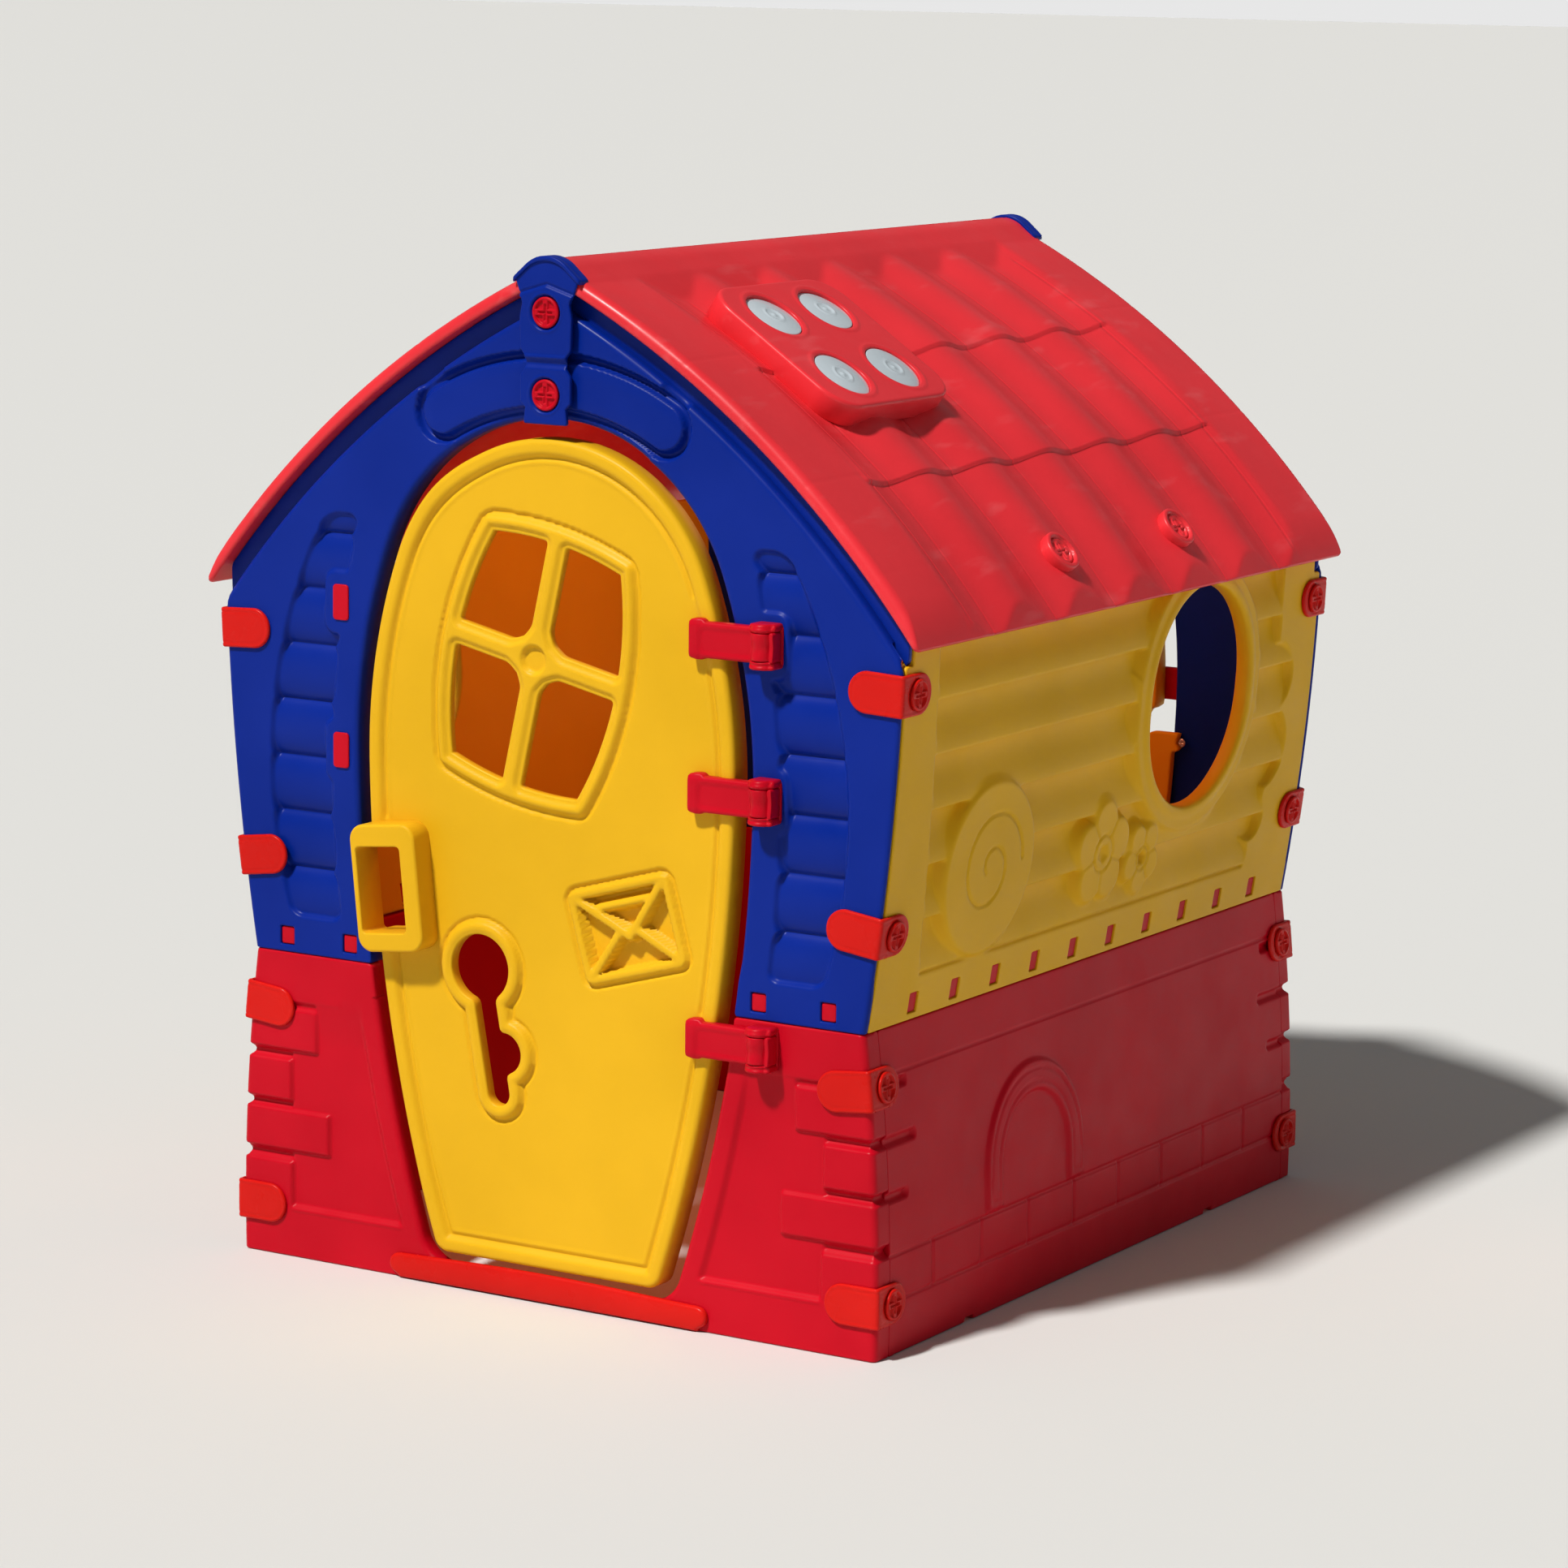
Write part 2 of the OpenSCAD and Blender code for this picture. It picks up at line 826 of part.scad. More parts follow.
// tilted window pane grid: outline grown by m
module pane_area(m) {
    translate([-20, 676]) rotate(-12.5) intersection() {
        translate([-261, 0]) circle(379 + m, $fn = 180);
        translate([261, 0]) circle(379 + m, $fn = 180);
        translate([0, -251]) circle(398 + m, $fn = 180);
        translate([0, 251]) circle(398 + m, $fn = 180);
    }
}

module pane_holes() {
    difference() {
        pane_area(-17);
        translate([-20, 676]) rotate(-12.5) {
            rect(-13.5, 10.5, -200, 200);
            rect(-200, 200, -7.5, 18.5);
            translate([-1.5, 5.5]) circle(27);
        }
    }
}

module key_shape(m) {
    translate([-86, 350]) circle(36 + m, $fn = 64);
    translate([-86, 350]) rotate(10.5) {
        rect(-13.6 - m, 13.6 + m, -133.6, 0);
        translate([0, -133.6]) circle(13.6 + m, $fn = 48);
        translate([13.5, -92]) circle(22 + m, $fn = 48);
    }
}

module grip_shape(w, h) {
    rotate(6.1) rect(-w, w, -h, h);
}

module letter_shape(m) {
    translate([97, 412]) rotate(16) rect(-67 - m, 67 + m, -52 - m, 52 + m);
}

module door_body() {
    difference() {
        union() {
            // skin
            yext(-470, -464) door_shape(-4, 12, door_z0 + 4);
            // rolled edge
            yext(-474, -474 + door_d) difference() {
                door_shape(0, 14, door_z0);
                door_shape(-10, 10, door_z0 + 10);
            }
            // window frame
            yext(-475, -464) pane_area(0);
            // keyhole rim
            yext(-474, -464) key_shape(7);
            // letter relief
            yext(-472.5, -466) letter_shape(0);
            // grip
            yext(-500, -458) translate([-190, 427]) grip_shape(42, 68);
        }
        // groove inside the edge
        yext(-475, -468.5) difference() {
            door_shape(-16, 8, door_z0 + 16);
            door_shape(-21, 8, door_z0 + 21);
            rect(150, 260, 690, 750);
            rect(150, 260, 290, 330);
            pane_area(1);
            translate([-190, 427]) grip_shape(43, 69);
        }
        yext(-480, -450) pane_holes();
        yext(-480, -450) key_shape(0);
        // the grip is open right through the door
        yext(-502, -440) translate([-196.5, 424.5]) grip_shape(28.4, 46);
        // the letter's flap lines
        translate([97, 0, 412]) rotate([0, -16, 0]) for (s = [-1, 1]) {
            translate([0, -475, 8]) rotate([0, s * 52, 0]) translate([-1.5, 0, 0]) cube([3, 4, 62]);
        }
    }
}

module door_front() {
    color(yellow) door_body();
}

// strap hinge leaf with its pin; door side towards -X
module leaf(len) {
    translate([piv_x, piv_y, 0]) {
        cylinder(h = 28, r = 9, center = true);
        cylinder(h = 46, r = pin_r, center = true);
        translate([-30, -4.5, -14]) cube([30, 9, 28]);
        translate([-len, -1, -18.5]) cube([len - 26, 14, 37]);
    }
}

module bracket() {
    difference() {
        union() {
            translate([piv_x - 17, -yf - 4, -23]) cube([34, 4, 46]);
            translate([piv_x - 6.4, -yf, -15.4]) cube([12.8, 12, 30.8]);
            for (s = [-1, 1]) translate([0, 0, s * 18.6]) {
                translate([piv_x - 11, piv_y, -4.4]) cube([24, -yf - piv_y - 3, 8.8]);
                translate([piv_x, piv_y, 0]) cylinder(h = 8.8, r = 11, center = true);
            }
        }
        translate([piv_x, piv_y, 0]) cylinder(h = 100, r = pin_r + 0.08, center = true);
        translate([piv_x, piv_y, 0]) cylinder(h = 28.4, r = 11.3, center = true);
    }
}

module door_leaf_top() {
    color(red) translate([0, 0, hinge_z[0]]) leaf(90);
}

module door_leaf_mid() {
    color(red) translate([0, 0, hinge_z[1]]) leaf(90);
}

module door_leaf_low() {
    color(red) translate([0, 0, hinge_z[2]]) leaf(90);
}

module door_bracket_top() {
    color(red) translate([0, 0, hinge_z[0]]) bracket();
}

module door_bracket_mid() {
    color(red) translate([0, 0, hinge_z[1]]) bracket();
}

module door_bracket_low() {
    color(red) translate([0, 0, hinge_z[2]]) bracket();
}

// ---------------------------------------------------------------- rear closure

// half panel screwed behind the rear opening
module rear_panel_body() {
    difference() {
        union() {
            yext(-yf + jamb_d + 0.3, -yf + jamb_d + 6) difference() {
                intersection() {
                    egg(door_gap + 6, 30);
                    translate([0, 514 - 2400]) circle(2400, $fn = 360);
                }
                rect(-300, 300, 0, 29);
            }
            yext(-yf + jamb_d + 6, -yf + jamb_d + 14) difference() {
                intersection() {
                    egg(door_gap - 2, 30);
                    translate([0, 508 - 2400]) circle(2400, $fn = 360);
                }
                egg(door_gap - 10, 30);
            }
            for (s = [-1, 1]) yext(-yf + jamb_d + 0.3, -yf + jamb_d + 6) {
                translate([s * 258, 500]) circle(11);
                translate([s * 258 - (s > 0 ? 30 : 0), 490]) square([30, 20]);
            }
        }
        for (s = [-1, 1]) translate([s * 258, -yf + 30, 500]) rotate([90, 0, 0]) cylinder(h = 30, r = 2.2, center = true);
    }
}

module rear_panel() {
    color(yellow) rear() rear_panel_body();
}

module rear_panel_screws() {
    color(steel) rear() for (s = [-1, 1]) translate([s * 258, 0, 500]) {
        translate([0, -yf + jamb_d + 9, 0]) rotate([90, 0, 0]) cylinder(h = 2.8, r = 5);
        translate([0, -yf + jamb_d + 8, 0]) rotate([90, 0, 0]) cylinder(h = 7.6, r = 2);
    }
}

// shutter leaf of the rear opening, right half in front orientation
module shutter_body() {
    difference() {
        union() {
            yext(-470, -464) intersection() {
                egg(-4, split_z + 10);
                rect(6, 300, split_z + 10, 1000);
            }
            yext(-474, -474 + door_d) difference() {
                intersection() {
                    egg(0, split_z + 4);
                    rect(2, 300, split_z + 4, 1000);
                }
                intersection() {
                    egg(-10, split_z + 14);
                    rect(12, 300, split_z + 14, 1000);
                }
                translate([224 - 20, split_z + 4]) difference() {
                    rect(6, 30, -2, 12);
                    translate([6, 12]) circle(12);
                }
            }
        }
        yext(-475, -468.5) difference() {
            intersection() {
                egg(-17, split_z + 21);
                rect(19, 300, split_z + 21, 1000);
            }
            intersection() {
                egg(-22, split_z + 26);
                rect(24, 300, split_z + 26, 1000);
            }
        }
    }
}

module shutter_right() {
    color(yellow) rear() flip() shutter_body();
}

module shutter_left() {
    color(yellow) rear() shutter_body();
}

module shutter_leaf_rt() {
    color(red) rear() flip() translate([0, 0, hinge_z[0]]) leaf(90);
}

module shutter_leaf_rm() {
    color(red) rear() flip() translate([0, 0, hinge_z[1]]) leaf(90);
}

module shutter_leaf_lt() {
    color(red) rear() translate([0, 0, hinge_z[0]]) leaf(90);
}

module shutter_leaf_lm() {
    color(red) rear() translate([0, 0, hinge_z[1]]) leaf(90);
}

module shutter_bracket_rt() {
    color(red) rear() flip() translate([0, 0, hinge_z[0]]) bracket();
}

module shutter_bracket_rm() {
    color(red) rear() flip() translate([0, 0, hinge_z[1]]) bracket();
}

module shutter_bracket_lt() {
    color(red) rear() translate([0, 0, hinge_z[0]]) bracket();
}

module shutter_bracket_lm() {
    color(red) rear() translate([0, 0, hinge_z[1]]) bracket();
}

// ---------------------------------------------------------------- draw

gable_front_right();
gable_front_left();
gable_rear_right();
gable_rear_left();
base_front_right();
base_front_left();
base_rear_right();
base_rear_left();
wall_right();
wall_left();
base_right();
base_left();
roof_right();
roof_left();
lenses_right();
lenses_left();
ridge_strap_front();
ridge_strap_rear();
strap_screws();
threshold_front();
threshold_rear();
roof_screws();
corner_straps_fr();
corner_straps_fl();
corner_straps_rr();
corner_straps_rl();
corner_screws_fr();
corner_screws_fl();
corner_screws_rr();
corner_screws_rl();
socket_plugs();
door_front();
door_leaf_top();
door_leaf_mid();
door_leaf_low();
door_bracket_top();
door_bracket_mid();
door_bracket_low();
rear_panel();
rear_panel_screws();
shutter_right();
shutter_left();
shutter_leaf_rt();
shutter_leaf_rm();
shutter_leaf_lt();
shutter_leaf_lm();
shutter_bracket_rt();
shutter_bracket_rm();
shutter_bracket_lt();
shutter_bracket_lm();
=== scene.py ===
"""Looks for the moulded plastic playhouse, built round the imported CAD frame.

Each moulding is a shell over a flat drawing: an outline given as a signed distance (negative
inside), a relief, and a rounded edge that turns back to a rear skin. Lengths are millimetres
until a shell is placed in the frame.
"""

import math

import bmesh
import bpy
import numpy as np
from mathutils import Matrix, Vector
from mathutils.geometry import delaunay_2d_cdt


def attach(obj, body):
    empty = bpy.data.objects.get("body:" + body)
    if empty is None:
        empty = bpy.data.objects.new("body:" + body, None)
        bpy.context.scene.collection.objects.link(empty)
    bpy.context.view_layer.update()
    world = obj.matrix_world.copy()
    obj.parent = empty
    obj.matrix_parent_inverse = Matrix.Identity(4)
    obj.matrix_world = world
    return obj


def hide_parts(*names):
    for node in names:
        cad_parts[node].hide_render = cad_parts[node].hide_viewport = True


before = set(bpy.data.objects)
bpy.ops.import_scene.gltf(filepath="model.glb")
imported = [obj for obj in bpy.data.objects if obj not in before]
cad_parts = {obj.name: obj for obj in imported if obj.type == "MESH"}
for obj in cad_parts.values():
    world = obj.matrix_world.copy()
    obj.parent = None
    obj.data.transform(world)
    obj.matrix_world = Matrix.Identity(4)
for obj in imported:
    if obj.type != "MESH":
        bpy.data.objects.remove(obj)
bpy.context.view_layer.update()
COARSE = 1.0

# ------ sizes of the house

HALF_LEN = 472.0
WAIST = 337.0
EAVE = 736.0
BASE_X, WAIST_X, EAVE_X = 401.0, 382.5, 421.5
LOW_RISE, UP_RISE = 6.5, 7.0
ROOF_C = (-458.0, 47.6)
ROOF_R = 1141.0
ROOF_HALF = 478.0
RIDGE_ANGLE = math.acos((0.25 - ROOF_C[0]) / ROOF_R)
STEP_R = 1103.0
STRIP_R = 1124.5
EAVE_ARC = 579.0
WAVE_PITCH = 128.5
WAVE_DROP = 10.5
COURSE_ARCS = (213.0, 383.0)
COURSE_LIFT = 3.0
DOOR_GAP = 22.0
DOOR_FOOT = 36.0
SILL = 22.0
SPLIT = 524.0
HINGE_Z = (722.0, 564.0, 310.0)
PIVOT = (266.0, 487.0)
STRAP_Z = (683.0, 437.0, 280.0, 57.0)
TAB_Z = 355.0
TAB_PITCH = 760.0 / 9
WINDOW = (180.0, 603.0)
BOARD_Z, BOARD_PITCH = 384.0, 57.0
BOARD_DEPTH, BOARD_STEP = 10.0, 3.2
LENSES = ((-270.0, 58.7), (-168.0, 58.7), (-270.0, 53.65), (-168.0, 53.65))
ROOF_SCREWS = ((-130.0, 40.7), (130.0, 40.7))
SIDES, ENDS = {"right": (1, 1), "left": (-1, -1)}, {"front": 1, "rear": -1}
QUARTERS = {"front_right": (1, 1), "front_left": (-1, 1), "rear_right": (1, -1), "rear_left": (-1, -1)}


def bulge(p, q, rise):
    """Centre and radius of the arc from p to q that bulges towards +X."""
    dx, dz = q[0] - p[0], q[1] - p[1]
    length = math.hypot(dx, dz)
    r = length * length / (8 * rise) + rise / 2
    return ((p[0] + q[0]) / 2 + dz / length * (rise - r), (p[1] + q[1]) / 2 - dx / length * (rise - r)), r


LOW_C, LOW_R = bulge((BASE_X, 0), (WAIST_X, WAIST), LOW_RISE)
UP_C, UP_R = bulge((WAIST_X, WAIST), (EAVE_X, EAVE), UP_RISE)


def low_x(z):
    return LOW_C[0] + np.sqrt(LOW_R**2 - (z - LOW_C[1]) ** 2)


def up_x(z):
    return UP_C[0] + np.sqrt(UP_R**2 - (z - UP_C[1]) ** 2)


def side_x(z):
    return low_x(z) if z < WAIST else up_x(z)


def lean(z):
    """Lean of the side surface from vertical, in radians."""
    return math.asin((LOW_C[1] - z) / LOW_R) if z < WAIST else math.asin((UP_C[1] - z) / UP_R)


# ------ drawing with distances


def circle(u, v, cu, cv, r):
    return np.hypot(u - cu, v - cv) - r


def box(u, v, u0, u1, v0, v1, r=0.0, turn=0.0):
    """Rectangle with corner radius r, turned about its centre by turn degrees."""
    c, s = math.cos(math.radians(turn)), math.sin(math.radians(turn))
    x, y = u - (u0 + u1) / 2, v - (v0 + v1) / 2
    qx = np.abs(x * c + y * s) - (u1 - u0) / 2 + r
    qy = np.abs(y * c - x * s) - (v1 - v0) / 2 + r
    return np.hypot(np.maximum(qx, 0), np.maximum(qy, 0)) + np.minimum(np.maximum(qx, qy), 0) - r


def rod(u, v, a, b, r=0.0):
    """Round-ended line from a to b."""
    du, dv = b[0] - a[0], b[1] - a[1]
    t = np.clip(((u - a[0]) * du + (v - a[1]) * dv) / (du * du + dv * dv), 0, 1)
    return np.hypot(u - a[0] - t * du, v - a[1] - t * dv) - r


def meet(a, b, r=0.0):
    """What lies in both shapes, with its corners rounded to r."""
    return np.minimum(-r, np.maximum(a, b)) + np.hypot(np.maximum(a + r, 0), np.maximum(b + r, 0))


def join(a, b, r=0.0):
    return -meet(-a, -b, r)


def inside(s, w):
    """1 within the shape, 0 outside, with a soft edge w wide."""
    t = np.clip(0.5 - s / w, 0, 1)
    return t * t * (3 - 2 * t)


def ridge(s, w):
    """A rounded bead w wide along s = 0, 1 at its top."""
    return np.cos(np.clip(s / w, -0.5, 0.5) * math.pi) ** 2


def tube(s, w):
    """A half-round bead w wide along s = 0, 1 at its top."""
    return np.sqrt(np.clip(1 - (2 * s / w) ** 2, 0, 1))


def ticks(h, *stops):
    """Grid lines no more than h apart that include every stop."""
    h = h * COARSE if h > 1.6 else h
    lines = [np.array([stops[0]], float)]
    for a, b in zip(stops, stops[1:]):
        lines.append(np.linspace(a, b, max(1, math.ceil((b - a) / h)) + 1)[1:])
    return np.concatenate(lines)


def egg(u, v):
    """The door's outline: side, shoulder and crown arcs."""
    x = np.abs(u)
    side = np.hypot(x + 1546, v - 590) - 1770
    shoulder = np.hypot(x + 376.2, v - 570.2) - 600
    crown = np.hypot(x, v - 710.5) - 198.5
    in_side = np.arctan2(v - 590, x + 1546) < -0.01695
    in_shoulder = np.arctan2(v - 570.2, x + 376.2) < math.asin(0.3494)
    return np.where(in_side, side, np.where(in_shoulder, shoulder, crown))


# ------ shells


def level(value):
    """A function of (u, v) that is the same everywhere."""
    return lambda u, v: np.full(np.shape(u), float(value))


def disc(r):
    return lambda u, v: circle(u, v, 0, 0, r)


def gradient(f, u, v, e=0.15):
    g = np.stack([f(u + e, v) - f(u - e, v), f(u, v + e) - f(u, v - e)], -1)
    return g / np.maximum(np.linalg.norm(g, axis=-1, keepdims=True), 1e-9)


def sheet(us, vs, cut):
    """Points, quads and other faces of a grid trimmed to cut(u, v) <= 0."""
    u, v = np.meshgrid(us, vs, indexing="ij")
    s = cut(u, v)
    reach = 0.3 * np.minimum(np.gradient(us)[:, None], np.gradient(vs)[None, :])
    near = np.abs(s) < reach
    pull = gradient(cut, u[near], v[near]) * s[near][:, None]
    u[near] -= pull[:, 0]
    v[near] -= pull[:, 1]
    s[near] = 0.0
    kept = s <= 0
    index = np.full(s.shape, -1)
    index[kept] = np.arange(kept.sum())
    points = np.stack([u[kept], v[kept]], -1)
    count = kept[:-1, :-1].astype(int) + kept[1:, :-1] + kept[1:, 1:] + kept[:-1, 1:]
    full = count == 4
    corners = (index[:-1, :-1], index[1:, :-1], index[1:, 1:], index[:-1, 1:])
    quads = np.stack([c[full] for c in corners], -1)
    crossings, extra, others = {}, [], []

    def crossing(a, b):
        if near[a]:
            return int(index[a])
        key = (a, b)
        if key not in crossings:
            t = s[a] / (s[a] - s[b])
            crossings[key] = len(points) + len(extra)
            extra.append((u[a] + t * (u[b] - u[a]), v[a] + t * (v[b] - v[a])))
        return crossings[key]

    for i, j in zip(*np.nonzero((count > 0) & (count < 4))):
        corners = [(i, j), (i + 1, j), (i + 1, j + 1), (i, j + 1)]
        face = []
        for a, b in zip(corners, corners[1:] + corners[:1]):
            if kept[a]:
                face.append(int(index[a]))
            if kept[a] and not kept[b]:
                face.append(crossing(a, b))
            if kept[b] and not kept[a]:
                face.append(crossing(b, a))
        face = [p for k, p in enumerate(face) if p != face[k - 1]]
        if len(set(face)) == len(face) and len(face) > 2:
            others.append(face)
    if extra:
        extra = np.array(extra)
        for _ in range(2):
            step = gradient(cut, extra[:, 0], extra[:, 1]) * cut(extra[:, 0], extra[:, 1])[:, None]
            extra = extra - np.clip(step, -0.5, 0.5)
        points = np.concatenate([points, extra])
    return points, quads, others


def rims(count, quads, others):
    """Closed loops of points round a sheet's free edges, in the faces' own sense."""
    pairs = [quads[:, [k, (k + 1) % 4]] for k in range(4)]
    pairs += [np.array([[a, b] for f in others for a, b in zip(f, f[1:] + f[:1])], int).reshape(-1, 2)]
    pairs = np.concatenate(pairs)
    code, back = pairs[:, 0] * count + pairs[:, 1], pairs[:, 1] * count + pairs[:, 0]
    free = pairs[~np.isin(code, back)]
    onward = {}
    for a, b in free.tolist():
        onward.setdefault(a, []).append(b)
    loops = []
    while onward:
        start = next(iter(onward))
        loop, here = [], start
        while here in onward:
            loop.append(here)
            ahead = onward[here].pop()
            if not onward[here]:
                del onward[here]
            here = ahead
            if here == start:
                break
        if len(loop) > 2:
            loops.append(np.array(loop))
    return loops


def enclosed(points, triangles, rim, edges):
    """True for each triangle whose centre lies within the rim's loops."""
    centres = points[triangles].mean(1)
    a, b = rim[[e[0] for e in edges]], rim[[e[1] for e in edges]]
    hits = np.zeros(len(centres), int)
    for start in range(0, len(centres), 2000):
        c = centres[start : start + 2000, None]
        spans = (a[:, 1] > c[..., 1]) != (b[:, 1] > c[..., 1])
        with np.errstate(divide="ignore", invalid="ignore"):
            cross = a[:, 0] + (c[..., 1] - a[:, 1]) * (b[:, 0] - a[:, 0]) / (b[:, 1] - a[:, 1])
        hits[start : start + 2000] = (spans & (c[..., 0] < cross)).sum(1)
    return hits % 2 == 1


def shell(us, vs, outline, relief, place, depth=12.0, edge=3.0, turns=4, lip=1.2, span=40.0):
    """A closed moulding. relief, depth and edge are numbers or functions of (u, v)."""
    relief, depth_at, edge_at = (f if callable(f) else level(f) for f in (relief, depth, edge))
    points, quads, others = sheet(us, vs, lambda u, v: outline(u, v) + edge_at(u, v))
    heights = relief(points[:, 0], points[:, 1])
    coords, drops = [points], [heights]
    total = len(points)
    faces4 = [quads]
    seams, seam_edges, seam_ids = [], [], []
    for loop in rims(len(points), quads, others):
        p = points[loop]
        n = gradient(outline, p[:, 0], p[:, 1])
        n = n + np.roll(n, 1, 0) + np.roll(n, -1, 0)
        n /= np.maximum(np.linalg.norm(n, axis=1, keepdims=True), 1e-9)
        r, h, deep = edge_at(p[:, 0], p[:, 1]), heights[loop], depth_at(p[:, 0], p[:, 1])
        bend = np.linspace(0, math.pi / 2, turns + 1)[1:]
        steps = [(r * math.sin(a), h - r * (1 - math.cos(a))) for a in bend]
        steps += [(r, lip - deep), (r - lip, -deep), (r - lip - 2.5, -deep)]
        last = loop
        for out, drop in steps:
            ring = total + np.arange(len(loop))
            coords.append(p + n * np.asarray(out)[:, None])
            drops.append(np.asarray(drop) + np.zeros(len(loop)))
            faces4.append(np.stack([np.roll(last, -1), last, ring, np.roll(ring, -1)], -1))
            total += len(loop)
            last = ring
        first = sum(len(x) for x in seams)
        ring = np.arange(first, first + len(loop))
        seam_edges += list(zip(ring.tolist(), np.roll(ring, -1).tolist()))
        seams.append(coords[-1])
        seam_ids.append(last)
    rim_ids, rim_points = np.concatenate(seam_ids), np.concatenate(seams)
    gu, gv = np.meshgrid(np.arange(us[0], us[-1], span), np.arange(vs[0], vs[-1], span), indexing="ij")
    well_in = outline(gu, gv) < -0.35 * span
    grid = np.stack([gu[well_in], gv[well_in]], -1)
    flat = np.concatenate([rim_points, grid])
    out_v, _, out_f, origin, _, _ = delaunay_2d_cdt([Vector(p) for p in flat], seam_edges, [], 0, 1e-5)
    solid = enclosed(np.array(out_v), np.array(out_f), rim_points, seam_edges)
    out_f = [f for f, kept in zip(out_f, solid) if kept]
    ids = np.empty(len(out_v), int)
    fresh = []
    for k, source in enumerate(origin):
        known = [i for i in source if i < len(rim_ids)]
        if known:
            ids[k] = rim_ids[known[0]]
        else:
            ids[k] = total + len(fresh)
            fresh.append(tuple(out_v[k]))
    if fresh:
        fresh = np.array(fresh)
        coords.append(fresh)
        drops.append(-depth_at(fresh[:, 0], fresh[:, 1]))
    faces3 = [tuple(int(ids[i]) for i in f)[::-1] for f in out_f]
    faces3 = [f for f in faces3 if len(set(f)) == 3]
    flat, drop = np.concatenate(coords), np.concatenate(drops)
    return place(flat[:, 0], flat[:, 1], drop), np.concatenate(faces4), others + faces3


def block(place, us, vs, u0, u1, v0, v1, r, relief, depth, edge, turns=3, lip=0.4, span=12.0):
    """A shell on a plain rounded rectangle."""
    outline = lambda u, v: box(u, v, u0, u1, v0, v1, r)
    return shell(us, vs, outline, relief, place, depth, edge, turns, lip, span)


def turned(place, sx, sy):
    """The same placing, mirrored across the house by sx and along it by sy."""
    return lambda u, v, d: place(u, v, d) * np.array([sx, sy, 1.0])


def moved(place, matrix):
    """The same placing, followed by a 4 by 4 matrix."""
    m = np.array(matrix)
    return lambda u, v, d: place(u, v, d) @ m[:3, :3].T + m[:3, 3]


def piece(name, body, material, shells, nodes=()):
    """One Blender object from closed shells, riding on a body and standing for CAD nodes."""
    verts, starts, corners, offset = [], [], [], 0
    for points, quads, others in shells:
        verts.append(points)
        starts += [4] * len(quads) + [len(f) for f in others]
        corners.append((quads + offset).ravel())
        corners.append(np.array([i + offset for f in others for i in f], int))
        offset += len(points)
    sizes = np.array(starts)
    mesh = bpy.data.meshes.new(name)
    mesh.vertices.add(offset)
    mesh.vertices.foreach_set("co", (np.concatenate(verts) * 0.001).ravel())
    mesh.loops.add(int(sizes.sum()))
    mesh.loops.foreach_set("vertex_index", np.concatenate(corners).astype(np.int32))
    mesh.polygons.add(len(sizes))
    mesh.polygons.foreach_set("loop_start", np.concatenate([[0], np.cumsum(sizes)[:-1]]).astype(np.int32))
    mesh.polygons.foreach_set("use_smooth", np.ones(len(sizes), bool))
    mesh.update(calc_edges=True)
    mesh.validate()
    obj = linked(name, mesh)
    outward(obj)
    mesh.materials.append(material)
    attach(obj, body)
    if nodes:
        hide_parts(*nodes)
    return obj


def mouldings(kind, places, material, make):
    """One moulding at each of its places, mirrored or turned round."""
    for name, (sx, sy) in places.items():
        piece(f"{name}_{kind}_moulding", "house", material, make(sx, sy), [f"{kind}_{name}"])


def outward(obj):
    """Turns every closed shell's faces to look outwards."""
    bm = bmesh.new()
    bm.from_mesh(obj.data)
    bmesh.ops.remove_doubles(bm, verts=bm.verts, dist=2e-6)
    bmesh.ops.recalc_face_normals(bm, faces=bm.faces)
    bm.to_mesh(obj.data)
    bm.free()


def linked(name, data):
    """A new object in the scene."""
    obj = bpy.data.objects.new(name, data)
    bpy.context.scene.collection.objects.link(obj)
    return obj


# ------ places


def on_front(u, v, d):
    return np.stack([u, -(HALF_LEN + d), v], -1)


def round_corner(section, r):
    """Front face that turns the corner with radius r and runs back along the side."""

    def place(u, v, d):
        xs = section(v)
        start = xs - r
        a = np.clip((u - start) / r, 0, math.pi / 2)
        past = np.maximum(u - start - r * math.pi / 2, 0)
        x = np.where(u < start, u, start + (r + d) * np.sin(a))
        y = np.where(u < start, -HALF_LEN - d, -HALF_LEN + r - (r + d) * np.cos(a) + past)
        return np.stack([x, y, v], -1)

    return place


def corner_end(section, r, back):
    """Drawing coordinate at which such a face has run back by the given distance."""
    return lambda v: section(v) - r + r * math.pi / 2 + back - r


def on_side(centre, radius):
    def place(u, v, d):
        sine, r = (v - centre[1]) / radius, radius + d
        return np.stack([centre[0] + r * np.sqrt(1 - sine**2), u, centre[1] + r * sine], -1)

    return place


def on_roof(u, v, d):
    a = RIDGE_ANGLE - v / ROOF_R
    return np.stack([ROOF_C[0] + (ROOF_R + d) * np.cos(a), u, ROOF_C[1] + (ROOF_R + d) * np.sin(a)], -1)


def flat_at(origin, along, up):
    """Places a flat drawing with its u along one direction and v along another."""
    o, e, f = (np.array(x, float) for x in (origin, along, up))
    e, f = e / np.linalg.norm(e), f / np.linalg.norm(f)
    n = np.cross(e, f)
    return lambda u, v, d: o + u[..., None] * e + v[..., None] * f + d[..., None] * n


def facing(x, y, z):
    """Flat place that looks forwards: u to the right, v up."""
    return flat_at((x, y, z), (1, 0, 0), (0, 0, 1))


def roof_arc(angle):
    return (RIDGE_ANGLE - math.radians(angle)) * ROOF_R


# ------ materials


